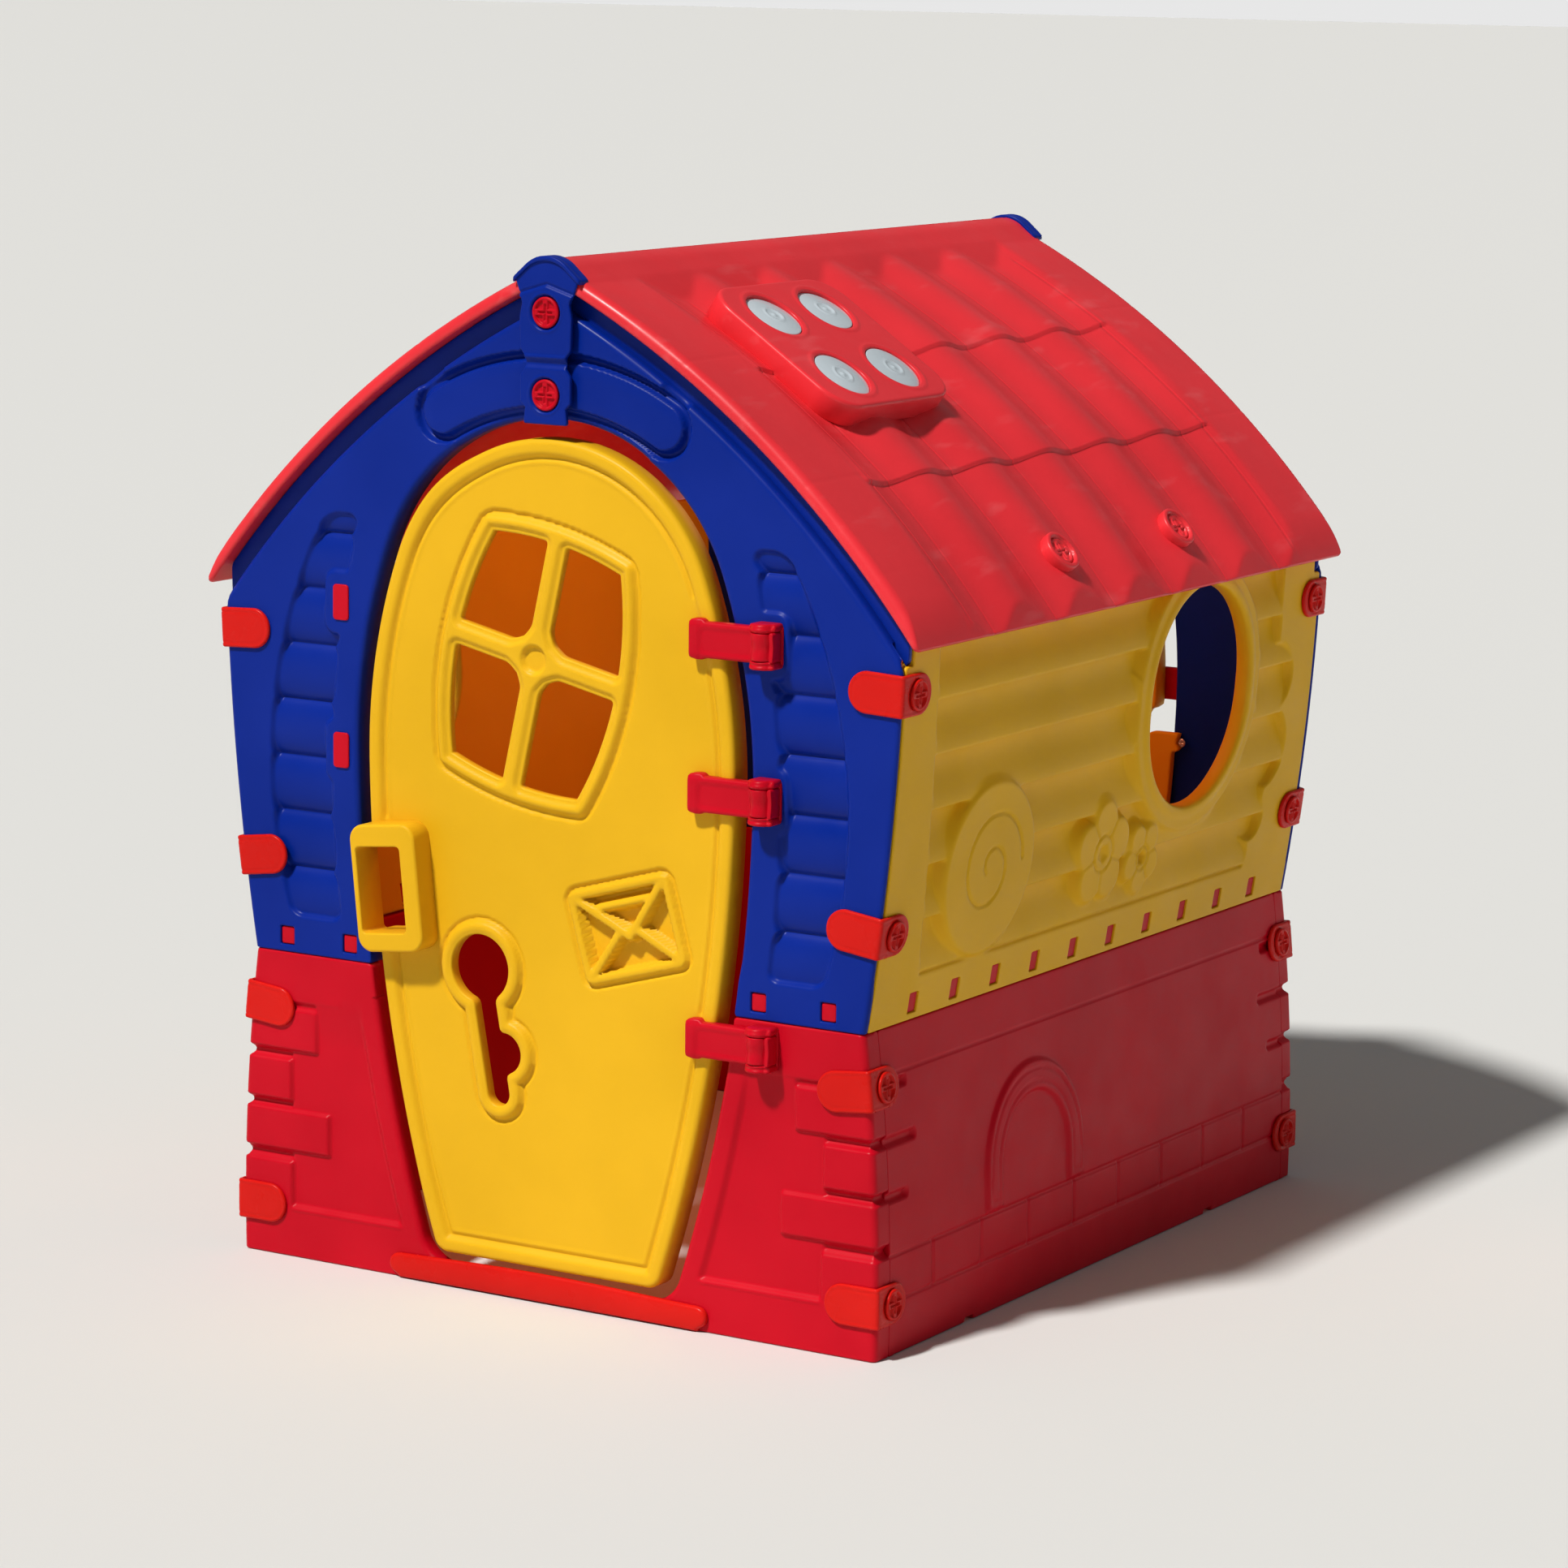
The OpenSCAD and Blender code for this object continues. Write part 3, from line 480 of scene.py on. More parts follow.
def plastic(name, colour, rough=0.34, grain=0.12, shade=0.10, painted_highlight=0.0, gloss=0.11):
    """Moulded polyethylene: slight drift of colour, fine grain, uneven gloss, and pale streaks painted into
    the colour as highlights.
    """
    m = bpy.data.materials.new(name)
    m.use_nodes = True
    nodes, links = m.node_tree.nodes, m.node_tree.links
    bsdf = nodes["Principled BSDF"]
    bsdf.inputs["IOR"].default_value = 1.5
    bsdf.inputs["Specular IOR Level"].default_value = gloss
    coords = nodes.new("ShaderNodeTexCoord")

    def noise(scale, detail, stretch=(1, 1, 1)):
        mapping = nodes.new("ShaderNodeMapping")
        mapping.inputs["Scale"].default_value = stretch
        links.new(coords.outputs["Object"], mapping.inputs["Vector"])
        tex = nodes.new("ShaderNodeTexNoise")
        tex.inputs["Scale"].default_value = scale
        tex.inputs["Detail"].default_value = detail
        links.new(mapping.outputs["Vector"], tex.inputs["Vector"])
        return tex.outputs["Fac"]

    def ramp(source, low, high, a, b):
        r = nodes.new("ShaderNodeMapRange")
        for key, value in zip(("From Min", "From Max", "To Min", "To Max"), (low, high, a, b)):
            r.inputs[key].default_value = value
        links.new(source, r.inputs["Value"])
        return r.outputs["Result"]

    deep = nodes.new("ShaderNodeMix")
    deep.data_type = "RGBA"
    deep.inputs["A"].default_value = (*[c * (1 - shade) for c in colour], 1)
    deep.inputs["B"].default_value = (*[min(1, c * (1 + 0.5 * shade) + 0.002) for c in colour], 1)
    links.new(ramp(noise(5.0, 3.0), 0.35, 0.65, 0, 1), deep.inputs["Factor"])
    result = deep.outputs["Result"]
    # Pale streaks mixed into the base colour here are painted highlights. They stand in for the sun's sheen
    # on the crests.
    if painted_highlight:
        pale = nodes.new("ShaderNodeMix")
        pale.data_type = "RGBA"
        pale.inputs["B"].default_value = (*[0.5 + 0.5 * c for c in colour], 1)
        links.new(result, pale.inputs["A"])
        links.new(ramp(noise(38.0, 8.0, (1, 0.25, 1)), 0.60, 0.80, 0, painted_highlight), pale.inputs["Factor"])
        result = pale.outputs["Result"]
    links.new(result, bsdf.inputs["Base Color"])
    links.new(ramp(noise(22.0, 6.0), 0.3, 0.7, rough - 0.06, rough + 0.08), bsdf.inputs["Roughness"])
    bump = nodes.new("ShaderNodeBump")
    bump.inputs["Strength"].default_value = grain
    bump.inputs["Distance"].default_value = 0.0006
    links.new(noise(700.0, 2.0), bump.inputs["Height"])
    links.new(bump.outputs["Normal"], bsdf.inputs["Normal"])
    return m


RED = plastic("red_moulding", (0.52, 0.001, 0.012), 0.38, 0.12)
# The roof's amount of pale streaks is a painted highlight in its colour.
ROOF_RED = plastic("roof_moulding", (0.72, 0.025, 0.035), 0.34, 0.08, 0.08, painted_highlight=0.10, gloss=0.3)
ORANGE_RED = plastic("strap_plastic", (0.60, 0.008, 0.005), 0.28, 0.06)
BLUE = plastic("blue_moulding", (0.0005, 0.017, 0.24), 0.36, 0.10)
YELLOW = plastic("yellow_moulding", (0.74, 0.41, 0.009), 0.40, 0.16, 0.06)
STEEL = plastic("screw_metal", (0.55, 0.55, 0.52), 0.30, 0.05)
STEEL.node_tree.nodes["Principled BSDF"].inputs["Metallic"].default_value = 1.0
CLEAR = plastic("lens_plastic", (0.50, 0.57, 0.62), 0.12, 0.02, 0.12)
CLEAR.node_tree.nodes["Principled BSDF"].inputs["Coat Weight"].default_value = 0.5

# ------ gables


def arc_through(p, q, r):
    """Centre and radius of the circle through three points."""
    (ax, ay), (bx, by), (cx, cy) = p, q, r
    d = 2 * (ax * (by - cy) + bx * (cy - ay) + cx * (ay - by))
    a2, b2, c2 = ax * ax + ay * ay, bx * bx + by * by, cx * cx + cy * cy
    ux = (a2 * (by - cy) + b2 * (cy - ay) + c2 * (ay - by)) / d
    uy = (a2 * (cx - bx) + b2 * (ax - cx) + c2 * (bx - ax)) / d
    return (ux, uy), math.hypot(ax - ux, ay - uy)


SHUTTER_OUT = arc_through((311, 770), (358, 603), (339, 395))
SHUTTER_IN = arc_through((247, 797), (277, 590), (269, 395))
SLAT_Z, SLAT_PITCH = 551.5, 60.6
SIGN_R, SIGN_HALF, SIGN_END = 276.0, 24.0, math.radians(29.7)
TAB_XS = (257, 340)
GABLE_R, GABLE_BACK = 5.0, 8.0
gable_end = corner_end(up_x, GABLE_R, GABLE_BACK)


def shutter(u, v):
    (ou, ov), orad = SHUTTER_OUT
    (iu, iv), irad = SHUTTER_IN
    t = np.abs(2 * (((v - SLAT_Z) / SLAT_PITCH) % 1.0) - 1)
    sides = meet(circle(u, v, ou, ov, orad) + 2.5 * t**4, -circle(u, v, iu, iv, irad) + 6.0 * t**4, 3)
    s = meet(sides, v - 817, 16)
    s = meet(s, 378 - v, 12)
    for z in HINGE_Z[:2]:
        s = meet(s, -box(u, v, 230, 288, z - 34, z + 32, 14), 5)
    return s


def sign(u, v):
    """Curved sign island beside the centre joint."""
    y = v - 692
    arc = np.abs(np.hypot(u, y) - SIGN_R) - SIGN_HALF
    tip = circle(u, y, SIGN_R * math.sin(SIGN_END), SIGN_R * math.cos(SIGN_END), SIGN_HALF)
    return np.where(np.arctan2(u, y) < SIGN_END, arc, tip)


def gable_outline(u, v):
    s = meet(circle(u, v, *ROOF_C, STEP_R), u - gable_end(v), 5)
    s = meet(s, -(egg(u, v) - DOOR_GAP))
    s = meet(s, WAIST + 0.3 - v, 3)
    s = meet(s, 0.25 - u)
    for x in TAB_XS:
        s = meet(s, -box(u, v, x - 9, x + 9, TAB_Z - 10, TAB_Z + 10, 1.5))
    return s


def gable_edge(u, v):
    """Edge radius: soft round the opening and roof line, tight at joints and tab windows."""
    soft = 1.8 + 4.2 * inside(385 - v, 28)
    return np.minimum(soft, np.clip((u - 1.0) * 0.6, 0.8, 6.0))


def gable_relief(u, v):
    d = np.zeros(np.shape(u))
    d -= 8.5 * tube(sign(u, v) - 4.5, 10.5)
    d += 0.8 * inside(sign(u, v) + 6, 14)
    s = shutter(u, v)
    t = ((v - SLAT_Z) / SLAT_PITCH) % 1.0
    slat = 10.0 * np.sqrt(np.clip(1 - (2 * t - 1) ** 2, 0, 1)) - 13.5
    d = d * (1 - inside(s, 4)) + slat * inside(s + 1, 5)
    wear = circle(u, v, PIVOT[0] - 4, HINGE_Z[0], 40)
    return d + 0.4 * inside(wear, 30)


def gable_depth(u, v):
    return np.where(u > up_x(v) - 22, 7.0, 18.0)


def gable_shells(sx, sy):
    place = turned(round_corner(up_x, GABLE_R), sx, sy)
    flange = 8.0 if sy > 0 else 0.0
    depth = lambda u, v: gable_depth(u, v) + flange * inside(egg(u, v) - DOOR_GAP - 8, 4)
    us, vs = ticks(1.7, -2, 0.5, 440), ticks(1.7, 333, 366, 1040)
    main = shell(us, vs, gable_outline, gable_relief, place, depth, gable_edge)

    def strip(u, v):
        s = meet(circle(u, v, *ROOF_C, STRIP_R), -circle(u, v, *ROOF_C, STEP_R - 4))
        s = meet(s, u - up_x(np.minimum(v, EAVE)) + 0.5, 2)
        return meet(meet(s, 0.25 - u), 660 - v)

    flat = turned(on_front, sx, sy)
    back = shell(ticks(4, -4, 430), ticks(4, 650, 1090), strip, -12, flat, 18, 0.8, 2, 0.5)
    return [main, back]


mouldings("gable", QUARTERS, BLUE, gable_shells)

# ------ lower front and rear panels

BASE_R, BASE_BACK = 7.0, 27.0
base_end = corner_end(low_x, BASE_R, BASE_BACK)
QUOINS = ((269, 282, 345), (301, 228, 275), (335, 172, 219), (285, 117, 163.5), (334, 55, 106))


def opening_foot(u, v):
    """The door opening down to the sill, with its big corner fillets."""
    return meet(egg(u, v) - DOOR_GAP, SILL - v, 26)


def base_outline(u, v):
    s = meet(u - base_end(v), -opening_foot(u, v))
    s = meet(s, v - WAIST, 3)
    s = meet(s, 0.4 - v, 2)
    return meet(s, 0.25 - u)


def base_relief(u, v):
    foot = opening_foot(u, v)
    d = -4.5 * inside(24 - foot, 8) * inside(57 - v, 5) * inside(v - 268, 60)
    for x0, z0, z1 in QUOINS:
        block = inside(box(u, v, x0, 520, z0, z1, 2.5) + 1.2, 3.4)
        d = d * (1 - block)
    for x0, z in ((301, 278.5), (335, 223.5), (335, 167.8), (334, 111.5)):
        d -= 2.6 * inside(box(u, v, x0 + 2, 520, z - 3, z + 3, 2), 3.5)
    return d + 1.0 * ridge(v - 53, 6) * inside(u - 334, 6) * inside(24 - foot, 8)


def base_edge(u, v):
    soft = np.where(v > 300, 3.0, 6.0)
    soft = np.where(u > base_end(v) - 8, 1.0, soft)
    return np.minimum(soft, np.minimum(np.clip((u - 1.0) * 0.6, 0.8, 6.0), np.clip(v * 0.5, 2.0, 6.0)))


def tab_shell(x, place, tall=9.6, r=2.0, depth=12.0, edge=1.5):
    """A locking tab's boss seen in its window."""
    us, vs = ticks(1.5, x - 10, x + 10), ticks(1.5, TAB_Z - tall - 1.4, TAB_Z + tall + 1.4)
    return block(place, us, vs, x - 8.6, x + 8.6, TAB_Z - tall, TAB_Z + tall, r, -2, depth, edge, 3, 1.2, 40)


def base_shells(sx, sy):
    place = turned(round_corner(low_x, BASE_R), sx, sy)
    us, vs = ticks(1.8, -2, 0.5, 450), ticks(1.7, -2, 0, 340)
    main = shell(us, vs, base_outline, base_relief, place, 18, base_edge)
    flat = turned(on_front, sx, sy)
    return [main] + [tab_shell(x, flat) for x in TAB_XS]


mouldings("base", QUARTERS, RED, base_shells)

# ------ side walls

TAB_YS = [-380 + TAB_PITCH * k for k in range(10)]


def window(u, v):
    a = circle(u, v, WINDOW[0], WINDOW[1] - 8, 115)
    b = circle(u, v, WINDOW[0], WINDOW[1] + 8, 115)
    return join(join(a, b), np.maximum(np.abs(u - WINDOW[0]) - 115, np.abs(v - WINDOW[1]) - 8))


def wall_outline(u, v):
    s = box(u, v, -463.7, 463.7, WAIST + 0.3, EAVE + 2, 2)
    s = meet(s, -box(np.abs(u), v, 450, 480, 712, 760, 2))
    s = meet(s, -window(u, v))
    for y in TAB_YS:
        s = meet(s, -box(u, v, y - 9, y + 9, TAB_Z - 11, TAB_Z + 11, 1))
    return s


def wall_edge(u, v):
    return np.where(window(u, v) < 30, 5.0, np.where(v < 372, 1.0, 2.0))


WALL_FRONT = arc_through((-378, 388), (-390, 530), (-397, 700))
SCALLOPS = ((300, 384, 26), (330, 398, 22), (352, 440, 26), (364, 520, 48), (372, 600, 40))


def spiral(u, v, cu, cv, r0, r1, turns):
    """Distance to a spiral that winds in from radius r0 to r1."""
    r, a = np.hypot(u - cu, v - cv), np.arctan2(v - cv, u - cu)
    best = np.full(np.shape(u), 1e9)
    for k in range(-1, int(turns) + 2):
        w = (a / (2 * math.pi) + k) / turns
        here = r0 + (r1 - r0) * np.clip(w, 0, 1)
        gap = np.abs(r - here) + 1e9 * ((w < 0) | (w > 1))
        best = np.minimum(best, gap)
    return best


def boards_area(u, v):
    (cu, cv), r = WALL_FRONT
    front = circle(u, v, cu, cv, r) if cu > 0 else -circle(u, v, cu, cv, r)
    s = meet(front, BOARD_Z - v, 3)
    rear = u - 372 + 74 * np.clip((470 - v) / 86, 0, 1) ** 1.6
    for cy, cz, cr in SCALLOPS:
        rear = join(rear, circle(u, v, cy, cz, cr), 3)
    return meet(s, rear, 3)


def flower(u, v, cu, cv, ring, petal, first):
    s = np.full(np.shape(u), 1e9)
    for k in range(5):
        a = math.radians(first + 72 * k)
        s = join(s, circle(u, v, cu + ring * math.cos(a), cv + ring * math.sin(a), petal), 2)
    return s


def wall_relief(u, v):
    t = 1 - ((v - BOARD_Z) / BOARD_PITCH) % 1.0
    flare = np.clip((t - 0.15) / 0.8, 0, 1)
    board = BOARD_DEPTH * (flare * flare * (3 - 2 * flare) - 1)
    snap = np.clip((1 - t) * BOARD_PITCH / BOARD_STEP, 0, 1)
    board = -BOARD_DEPTH * (1 - snap) + board * snap
    area = inside(boards_area(u, v) + 1, 4)
    s = window(u, v)
    area = area * (1 - inside(s - 32, 12))
    disc = circle(u, v, -262, 478, 92)
    blooms = join(flower(u, v, -10, 455, 33, 25, 18), flower(u, v, 84, 436, 24, 17, 50), 1)
    area = area * (1 - inside(join(disc, blooms, 6) - 4, 8))
    d = board * area
    d += 3.5 * inside(disc, 7) - 2.2 * ridge(spiral(u, v, -262, 478, 66, 8, 1.6), 5)
    d += 3.0 * inside(blooms, 6)
    for cu, cv, r in ((-10, 455, 20), (84, 436, 13)):
        core = circle(u, v, cu, cv, r)
        d -= 2.2 * ridge(core, 4)
        for k in range(5):
            a = math.radians((54 if cu < 0 else 86) + 72 * k)
            far = (cu + 3 * r * math.cos(a), cv + 3 * r * math.sin(a))
            near = (cu + r * math.cos(a), cv + r * math.sin(a))
            d -= 1.6 * ridge(rod(u, v, near, far), 4) * inside(blooms + 1, 3)
    d += 2.5 * inside(s - 27, 5) + 2.2 * inside(s - 12, 8)
    return d


def wall_shells(sx, sy):
    place = turned(on_side(UP_C, UP_R), sx, sy)
    stops = [BOARD_Z + BOARD_PITCH * k + z for k in range(7) for z in (-0.1, BOARD_STEP)]
    vs = ticks(2.1, 335, 345, *[z for z in stops if z < EAVE - 2], EAVE + 4)
    return [shell(ticks(2.2, -466, 466), vs, wall_outline, wall_relief, place, 14, wall_edge)]


mouldings("wall", SIDES, YELLOW, wall_shells)


def base_side_outline(u, v):
    s = box(u, v, -444.7, 444.7, 0.4, WAIST, 2.5)
    for y in (-280, 262):
        s = meet(s, -box(u, v, y - 9, y + 9, -8, 5, 2))
    return s


def base_side_relief(u, v):
    d = -1.6 * ridge(v - 290, 4.5) * inside(np.abs(u) - 430, 6)
    d -= 2.0 * ridge(v - 105, 5.5) + 2.0 * ridge(v - 57, 5.5)
    for k in range(9):
        d -= 2.0 * ridge(u + 358 - 100.5 * k, 5.5) * inside(np.abs(v - 81) - 24, 3)
    for k in range(3):
        z = 161 + 57 * k
        for s in (-1, 1):
            reach = (408, 388, 400)[k]
            d -= 5.0 * inside(box(s * u, v, reach, 480, z, z + 9, 3), 4)
    arch = join(circle(u, v, -143, 148, 104), box(u, v, -247, -39, 108, 148))
    hole = join(circle(u, v, -143, 148, 72), box(u, v, -215, -71, 100, 148))
    ring = meet(meet(arch, -hole, 2), 109 - v, 2)
    d += 3.6 * inside(ring, 5) - 1.2 * ridge(ring + 9, 4)
    return d


def base_side_shells(sx, sy):
    place = turned(on_side(LOW_C, LOW_R), sx, sy)
    rounding = lambda u, v: np.where(np.abs(u) > 436, 0.8, 2.0)
    us, vs = ticks(2.2, -447, 447), ticks(2.1, -2, 53, 61, 101, 109, 286, 294, 339)
    main = shell(us, vs, base_side_outline, base_side_relief, place, 12, rounding)
    upper = turned(on_side(UP_C, UP_R), sx, sy)
    return [main] + [tab_shell(y, upper, 10.6, 1.5, 10.0, 1.2) for y in TAB_YS]


mouldings("base", SIDES, RED, base_side_shells)

# ------ roof

SKY_ARC = (roof_arc(58.7) + roof_arc(53.65)) / 2
SKY_Y = -219.0
ROLL_R, ROLL_SLOPE = 34.0, math.radians(19)


def skylight(u, v):
    return box(u, v, -116, 116, -102, 102, 38)


def roof_outline(u, v):
    return meet(box(u, v, -ROOF_HALF, ROOF_HALF, -60, EAVE_ARC, 6), 0.4 - v)


def roof_edge(u, v):
    return np.minimum(np.clip(v * 0.3, 0.5, 10.0), np.clip((EAVE_ARC - v) * 0.2 + 1.5, 1.5, 10.0))


def roof_waves(u, v):
    """Tile surface: waves with a raised lower edge on each course, smooth borders at the ends."""
    wave = 0.5 - 0.5 * np.cos(2 * math.pi * u / WAVE_PITCH)
    wave = np.where(np.abs(u) > 3 * WAVE_PITCH, 0.0, wave)
    lift = np.zeros(np.shape(v))
    for a, b in zip((30.0,) + COURSE_ARCS, COURSE_ARCS):
        lift = np.where((v > a) & (v <= b), COURSE_LIFT * ((v - a) / (b - a)) ** 2, lift)
    return (lift - 1.0) * inside(np.abs(u) - 372, 10) - WAVE_DROP * wave


def roof_relief(u, v):
    border = 1 - inside(np.abs(u) - 368, 14)
    d = roof_waves(u, v) - 1.5
    valley = (u / WAVE_PITCH + 0.5) % 1.0 * WAVE_PITCH
    seam = np.minimum(valley, WAVE_PITCH - valley)
    d -= 0.7 * ridge(seam, 2.6) * (1 - border) * inside(84 - v, 10)
    for arc in (191, 375, 494):
        d -= 0.5 * ridge(v - arc, 3.0) * border
    d -= 0.9 * ridge(np.abs(u) - 364, 3.0) * inside(78 - v, 10)
    slope = math.tan(ROLL_SLOPE)
    a, roll_end = v - 11.2, ROLL_R * math.sin(ROLL_SLOPE)
    roll = -25.6 + np.sqrt(np.maximum(ROLL_R**2 - np.minimum(a, roll_end) ** 2, 0))
    band = np.where(a < roll_end, roll, 6.5 - slope * (a - roll_end))
    band = band - 3.5 * (1 - np.clip((v - 8) / 34, 0, 1) ** 1.5)
    band = np.maximum(band, -WAVE_DROP - 4)
    d = soft_max(d, band, 2.0)
    soft = 1.2 + 7 * border
    return -soft_max(-d, -(0.6 - slope * (v - 544)), soft)


def soft_max(a, b, k):
    h = np.clip(0.5 + 0.5 * (a - b) / k, 0, 1)
    return b + (a - b) * h + k * h * (1 - h)


def roof_spot(angle, y):
    """Flat place at a point of the roof: u along the house, v down the slope."""
    a = math.radians(angle)
    origin = (ROOF_C[0] + ROOF_R * math.cos(a), y, ROOF_C[1] + ROOF_R * math.sin(a))
    return flat_at(origin, (0, -1, 0), (math.sin(a), 0, -math.cos(a)))


def plate_outline(u, v):
    s = skylight(u, v)
    for y, angle in LENSES:
        s = meet(s, -circle(u, v, SKY_Y - y, roof_arc(angle) - SKY_ARC, 33.4))
    return s


def plate_relief(u, v):
    d = np.full(np.shape(u), 12.0)
    for y, angle in LENSES:
        d += 1.0 * ridge(circle(u, v, SKY_Y - y, roof_arc(angle) - SKY_ARC, 38), 7)
    return d


def plate_edge(u, v):
    return np.where(skylight(u, v) > -9, 4.0, 1.4)


def collar_relief(u, v):
    r = np.hypot(u, v)
    return 6.5 - 4.5 * inside(r - 17.2, 1.6)


def roof_shells(sx, sy):
    place = turned(on_roof, sx, sy)
    stops = [z for arc in COURSE_ARCS for z in (arc - 0.1, arc + 2.0)]
    lines = [s * (c + e) for s in (-1, 1) for c in (64.25, 192.75, 321.25, 364.0) for e in (-1.4, 0.0, 1.4)]
    us = ticks(2.9, -480, *sorted(lines), 480)
    vs = ticks(2.8, -2, 0.9, *stops, 543, 549, EAVE_ARC + 2)
    main = shell(us, vs, roof_outline, roof_relief, place, 16, roof_edge, 5, 1.5)
    spot = turned(roof_spot(math.degrees(RIDGE_ANGLE - SKY_ARC / ROOF_R), SKY_Y), sx, sy)
    us, vs = ticks(2.0, -118, 118), ticks(2.0, -104, 104)
    plate = shell(us, vs, plate_outline, plate_relief, spot, 15.4, plate_edge, 4, 1.0)
    parts = [main, plate]
    for y, angle in ROOF_SCREWS:
        spot = turned(roof_spot(angle, y), sx, sy)
        grid = ticks(1.2, -24, 24)
        parts.append(shell(grid, grid, disc(23), collar_relief, spot, 13, 2.2, 3, 0.6, 12))
    return parts


mouldings("roof", SIDES, ROOF_RED, roof_shells)


def lens_shell(place):
    def relief(u, v):
        r = np.hypot(u, v)
        dome = 13.2 - r * r / 420
        return dome + 0.9 * ridge(r - 11, 4) - 0.8 * inside(r - 9, 4) + 1.2 * inside(r - 2.5, 3)

    us = ticks(1.6, -34, 34)
    return shell(us, us, disc(33), relief, place, -5.3, 0.8, 2, 0.3)


for side, (sx, sy) in SIDES.items():
    shells = [lens_shell(turned(roof_spot(angle, y), sx, sy)) for y, angle in LENSES]
    piece(f"{side}_skylight_lenses", "house", CLEAR, shells, [f"lenses_{side}"])

# ------ screws

HEAD_R = 16.0


def head_relief(top):
    """Cross-pattern screw face: a raised cross between four sunk quarters."""

    def relief(u, v):
        r, x, y = np.hypot(u, v), np.abs(u), np.abs(v)
        quarter = np.maximum(np.maximum(3.2 - x, 3.2 - y), r - 12.4)
        slots = np.minimum(np.maximum(x - 8.5, y - 1.2), np.maximum(x - 1.2, y - 8.5))
        return top - 2.4 * inside(quarter, 1.2) - 2.4 * inside(slots, 1.0) + 0.5 * ridge(r - 14, 2.4)

    return relief


def screw_shell(place, top=0.0, deep=3.0):
    us = ticks(0.6, -17, 17)
    return shell(us, us, disc(HEAD_R), head_relief(top), place, deep - top, 1.3, 3, 0.3, 8.0)


shells = []
for sx, sy in ((1, 1), (-1, -1)):
    for y, angle in ROOF_SCREWS:
        shells.append(screw_shell(turned(roof_spot(angle, y), sx, sy), 3.8, 3.2))
piece("roof_screw_heads", "house", ROOF_RED, shells, ["roof_screws"])

# ------ corner straps

STRAP_END_FRONT, STRAP_END_SIDE, STRAP_HALF = 60.0, 53.0, 21.5
STRAP_T = 5.0
BEND = STRAP_T * math.pi / 4
SCREW_IN = 26.0


def corner_tilt(z):
    return Matrix.Translation((side_x(z) + 0.4, -HALF_LEN, z)) @ Matrix.Rotation(lean(z), 4, "Y")


def strap_place(z):
    """Round the front right corner: u < 0 on the front, u > 0 on the side."""

    def bent(u, v, d):
        a = np.clip((u + BEND) / STRAP_T, 0, math.pi / 2)
        x = (STRAP_T + d) * np.sin(a) + np.minimum(u + BEND, 0)
        y = -(STRAP_T + d) * np.cos(a) + np.maximum(u - BEND, 0)
        return np.stack([x, y, v], -1)

    return moved(bent, corner_tilt(z))


def strap_outline(u, v):
    h = STRAP_HALF
    return box(u, v, -STRAP_END_FRONT - BEND, STRAP_END_SIDE + BEND, -h, h, h - 0.1)


def strap_relief(u, v):
    r = np.hypot(u - SCREW_IN - BEND, v)
    return -0.8 - 1.0 * inside(r - 17.0, 1.6) - 0.5 * ridge(strap_outline(u, v) + 5, 4)


def strap_screw(z):
    return moved(flat_at((7.0, SCREW_IN, 0), (0, 1, 0), (0, 0, 1)), corner_tilt(z))


for quarter, (sx, sy) in QUARTERS.items():
    key = "".join(word[0] for word in quarter.split("_"))
    us, vs = ticks(1.6, -66, 60), ticks(1.6, -23, 23)
    places = [turned(strap_place(z), sx, sy) for z in STRAP_Z]
    straps = [shell(us, vs, strap_outline, strap_relief, p, 4.8, 2.2, 3, 0.5, 14) for p in places]
    heads = [screw_shell(turned(strap_screw(z), sx, sy)) for z in STRAP_Z]
    for part, shells in {"strap": straps, "screw": heads}.items():
        name, node = f"corner_{part}_set_{key}", f"corner_{part}s_{key}"
        piece(name, "house", ORANGE_RED, shells, [node])

# ------ ridge straps and thresholds

STRAP_FACE = ROOF_HALF + 5
RIDGE_SCREW_Z = (957.0, 1041.0)
CAP_Z, CAP_R, CAP_FLAT = 1061.0, 37.5, 26.0
BODY_ZS = (926, 944, 950, 976, 984, 996, 1004, 1036, 1050, 1056)
BODY_HALVES = (27, 25, 31, 31, 25, 25, 31, 32, 29, 31)


def cap_height(x):
    """Height of the cap's top over the rolled ridge at distance x from the middle."""
    x = np.abs(x)
    crown = np.sqrt(CAP_R**2 - np.minimum(x, CAP_FLAT) ** 2)
    return CAP_Z + np.where(x < CAP_FLAT, crown, 27.0 - 0.86 * (x - CAP_FLAT))


def ridge_outline(u, v):
    """Waisted strap body under a fan-shaped cap."""
    x = np.abs(u)
    body = meet(x - np.interp(v, BODY_ZS, BODY_HALVES), 927 - v, 1)
    flare = np.interp(v, (1050, 1062, 1078, 1092), (30, 34, 40, 42))
    fan = meet(x - flare, (v - cap_height(u)) * 0.8, 2)
    return np.where(v < 1056, body, fan)


def ridge_relief(u, v):
    x = np.abs(u)
    d = -3.0 * ridge(v - 989, 12) + 1.2 * ridge(v - 996, 6)
    chevron = v - 1068 + 0.30 * x
    d -= 2.2 * inside(-chevron, 4)
    d -= 1.4 * ridge(chevron - 2, 4)
    for z in RIDGE_SCREW_Z:
        r = np.hypot(u, v - z)
        d += (-3.6 - d) * inside(r - 17.4, 1.8)
        d += 0.8 * ridge(r - 20, 4)
    return d


def cap_place(u, v, d):
    """The cap over the rolled ridge: u across it, v back along the house."""
    return np.stack([u, -STRAP_FACE + v, cap_height(u) + d], -1)


def crown_relief(u, v):
    return -0.9 * ridge(v - 8, 5) + 0 * u


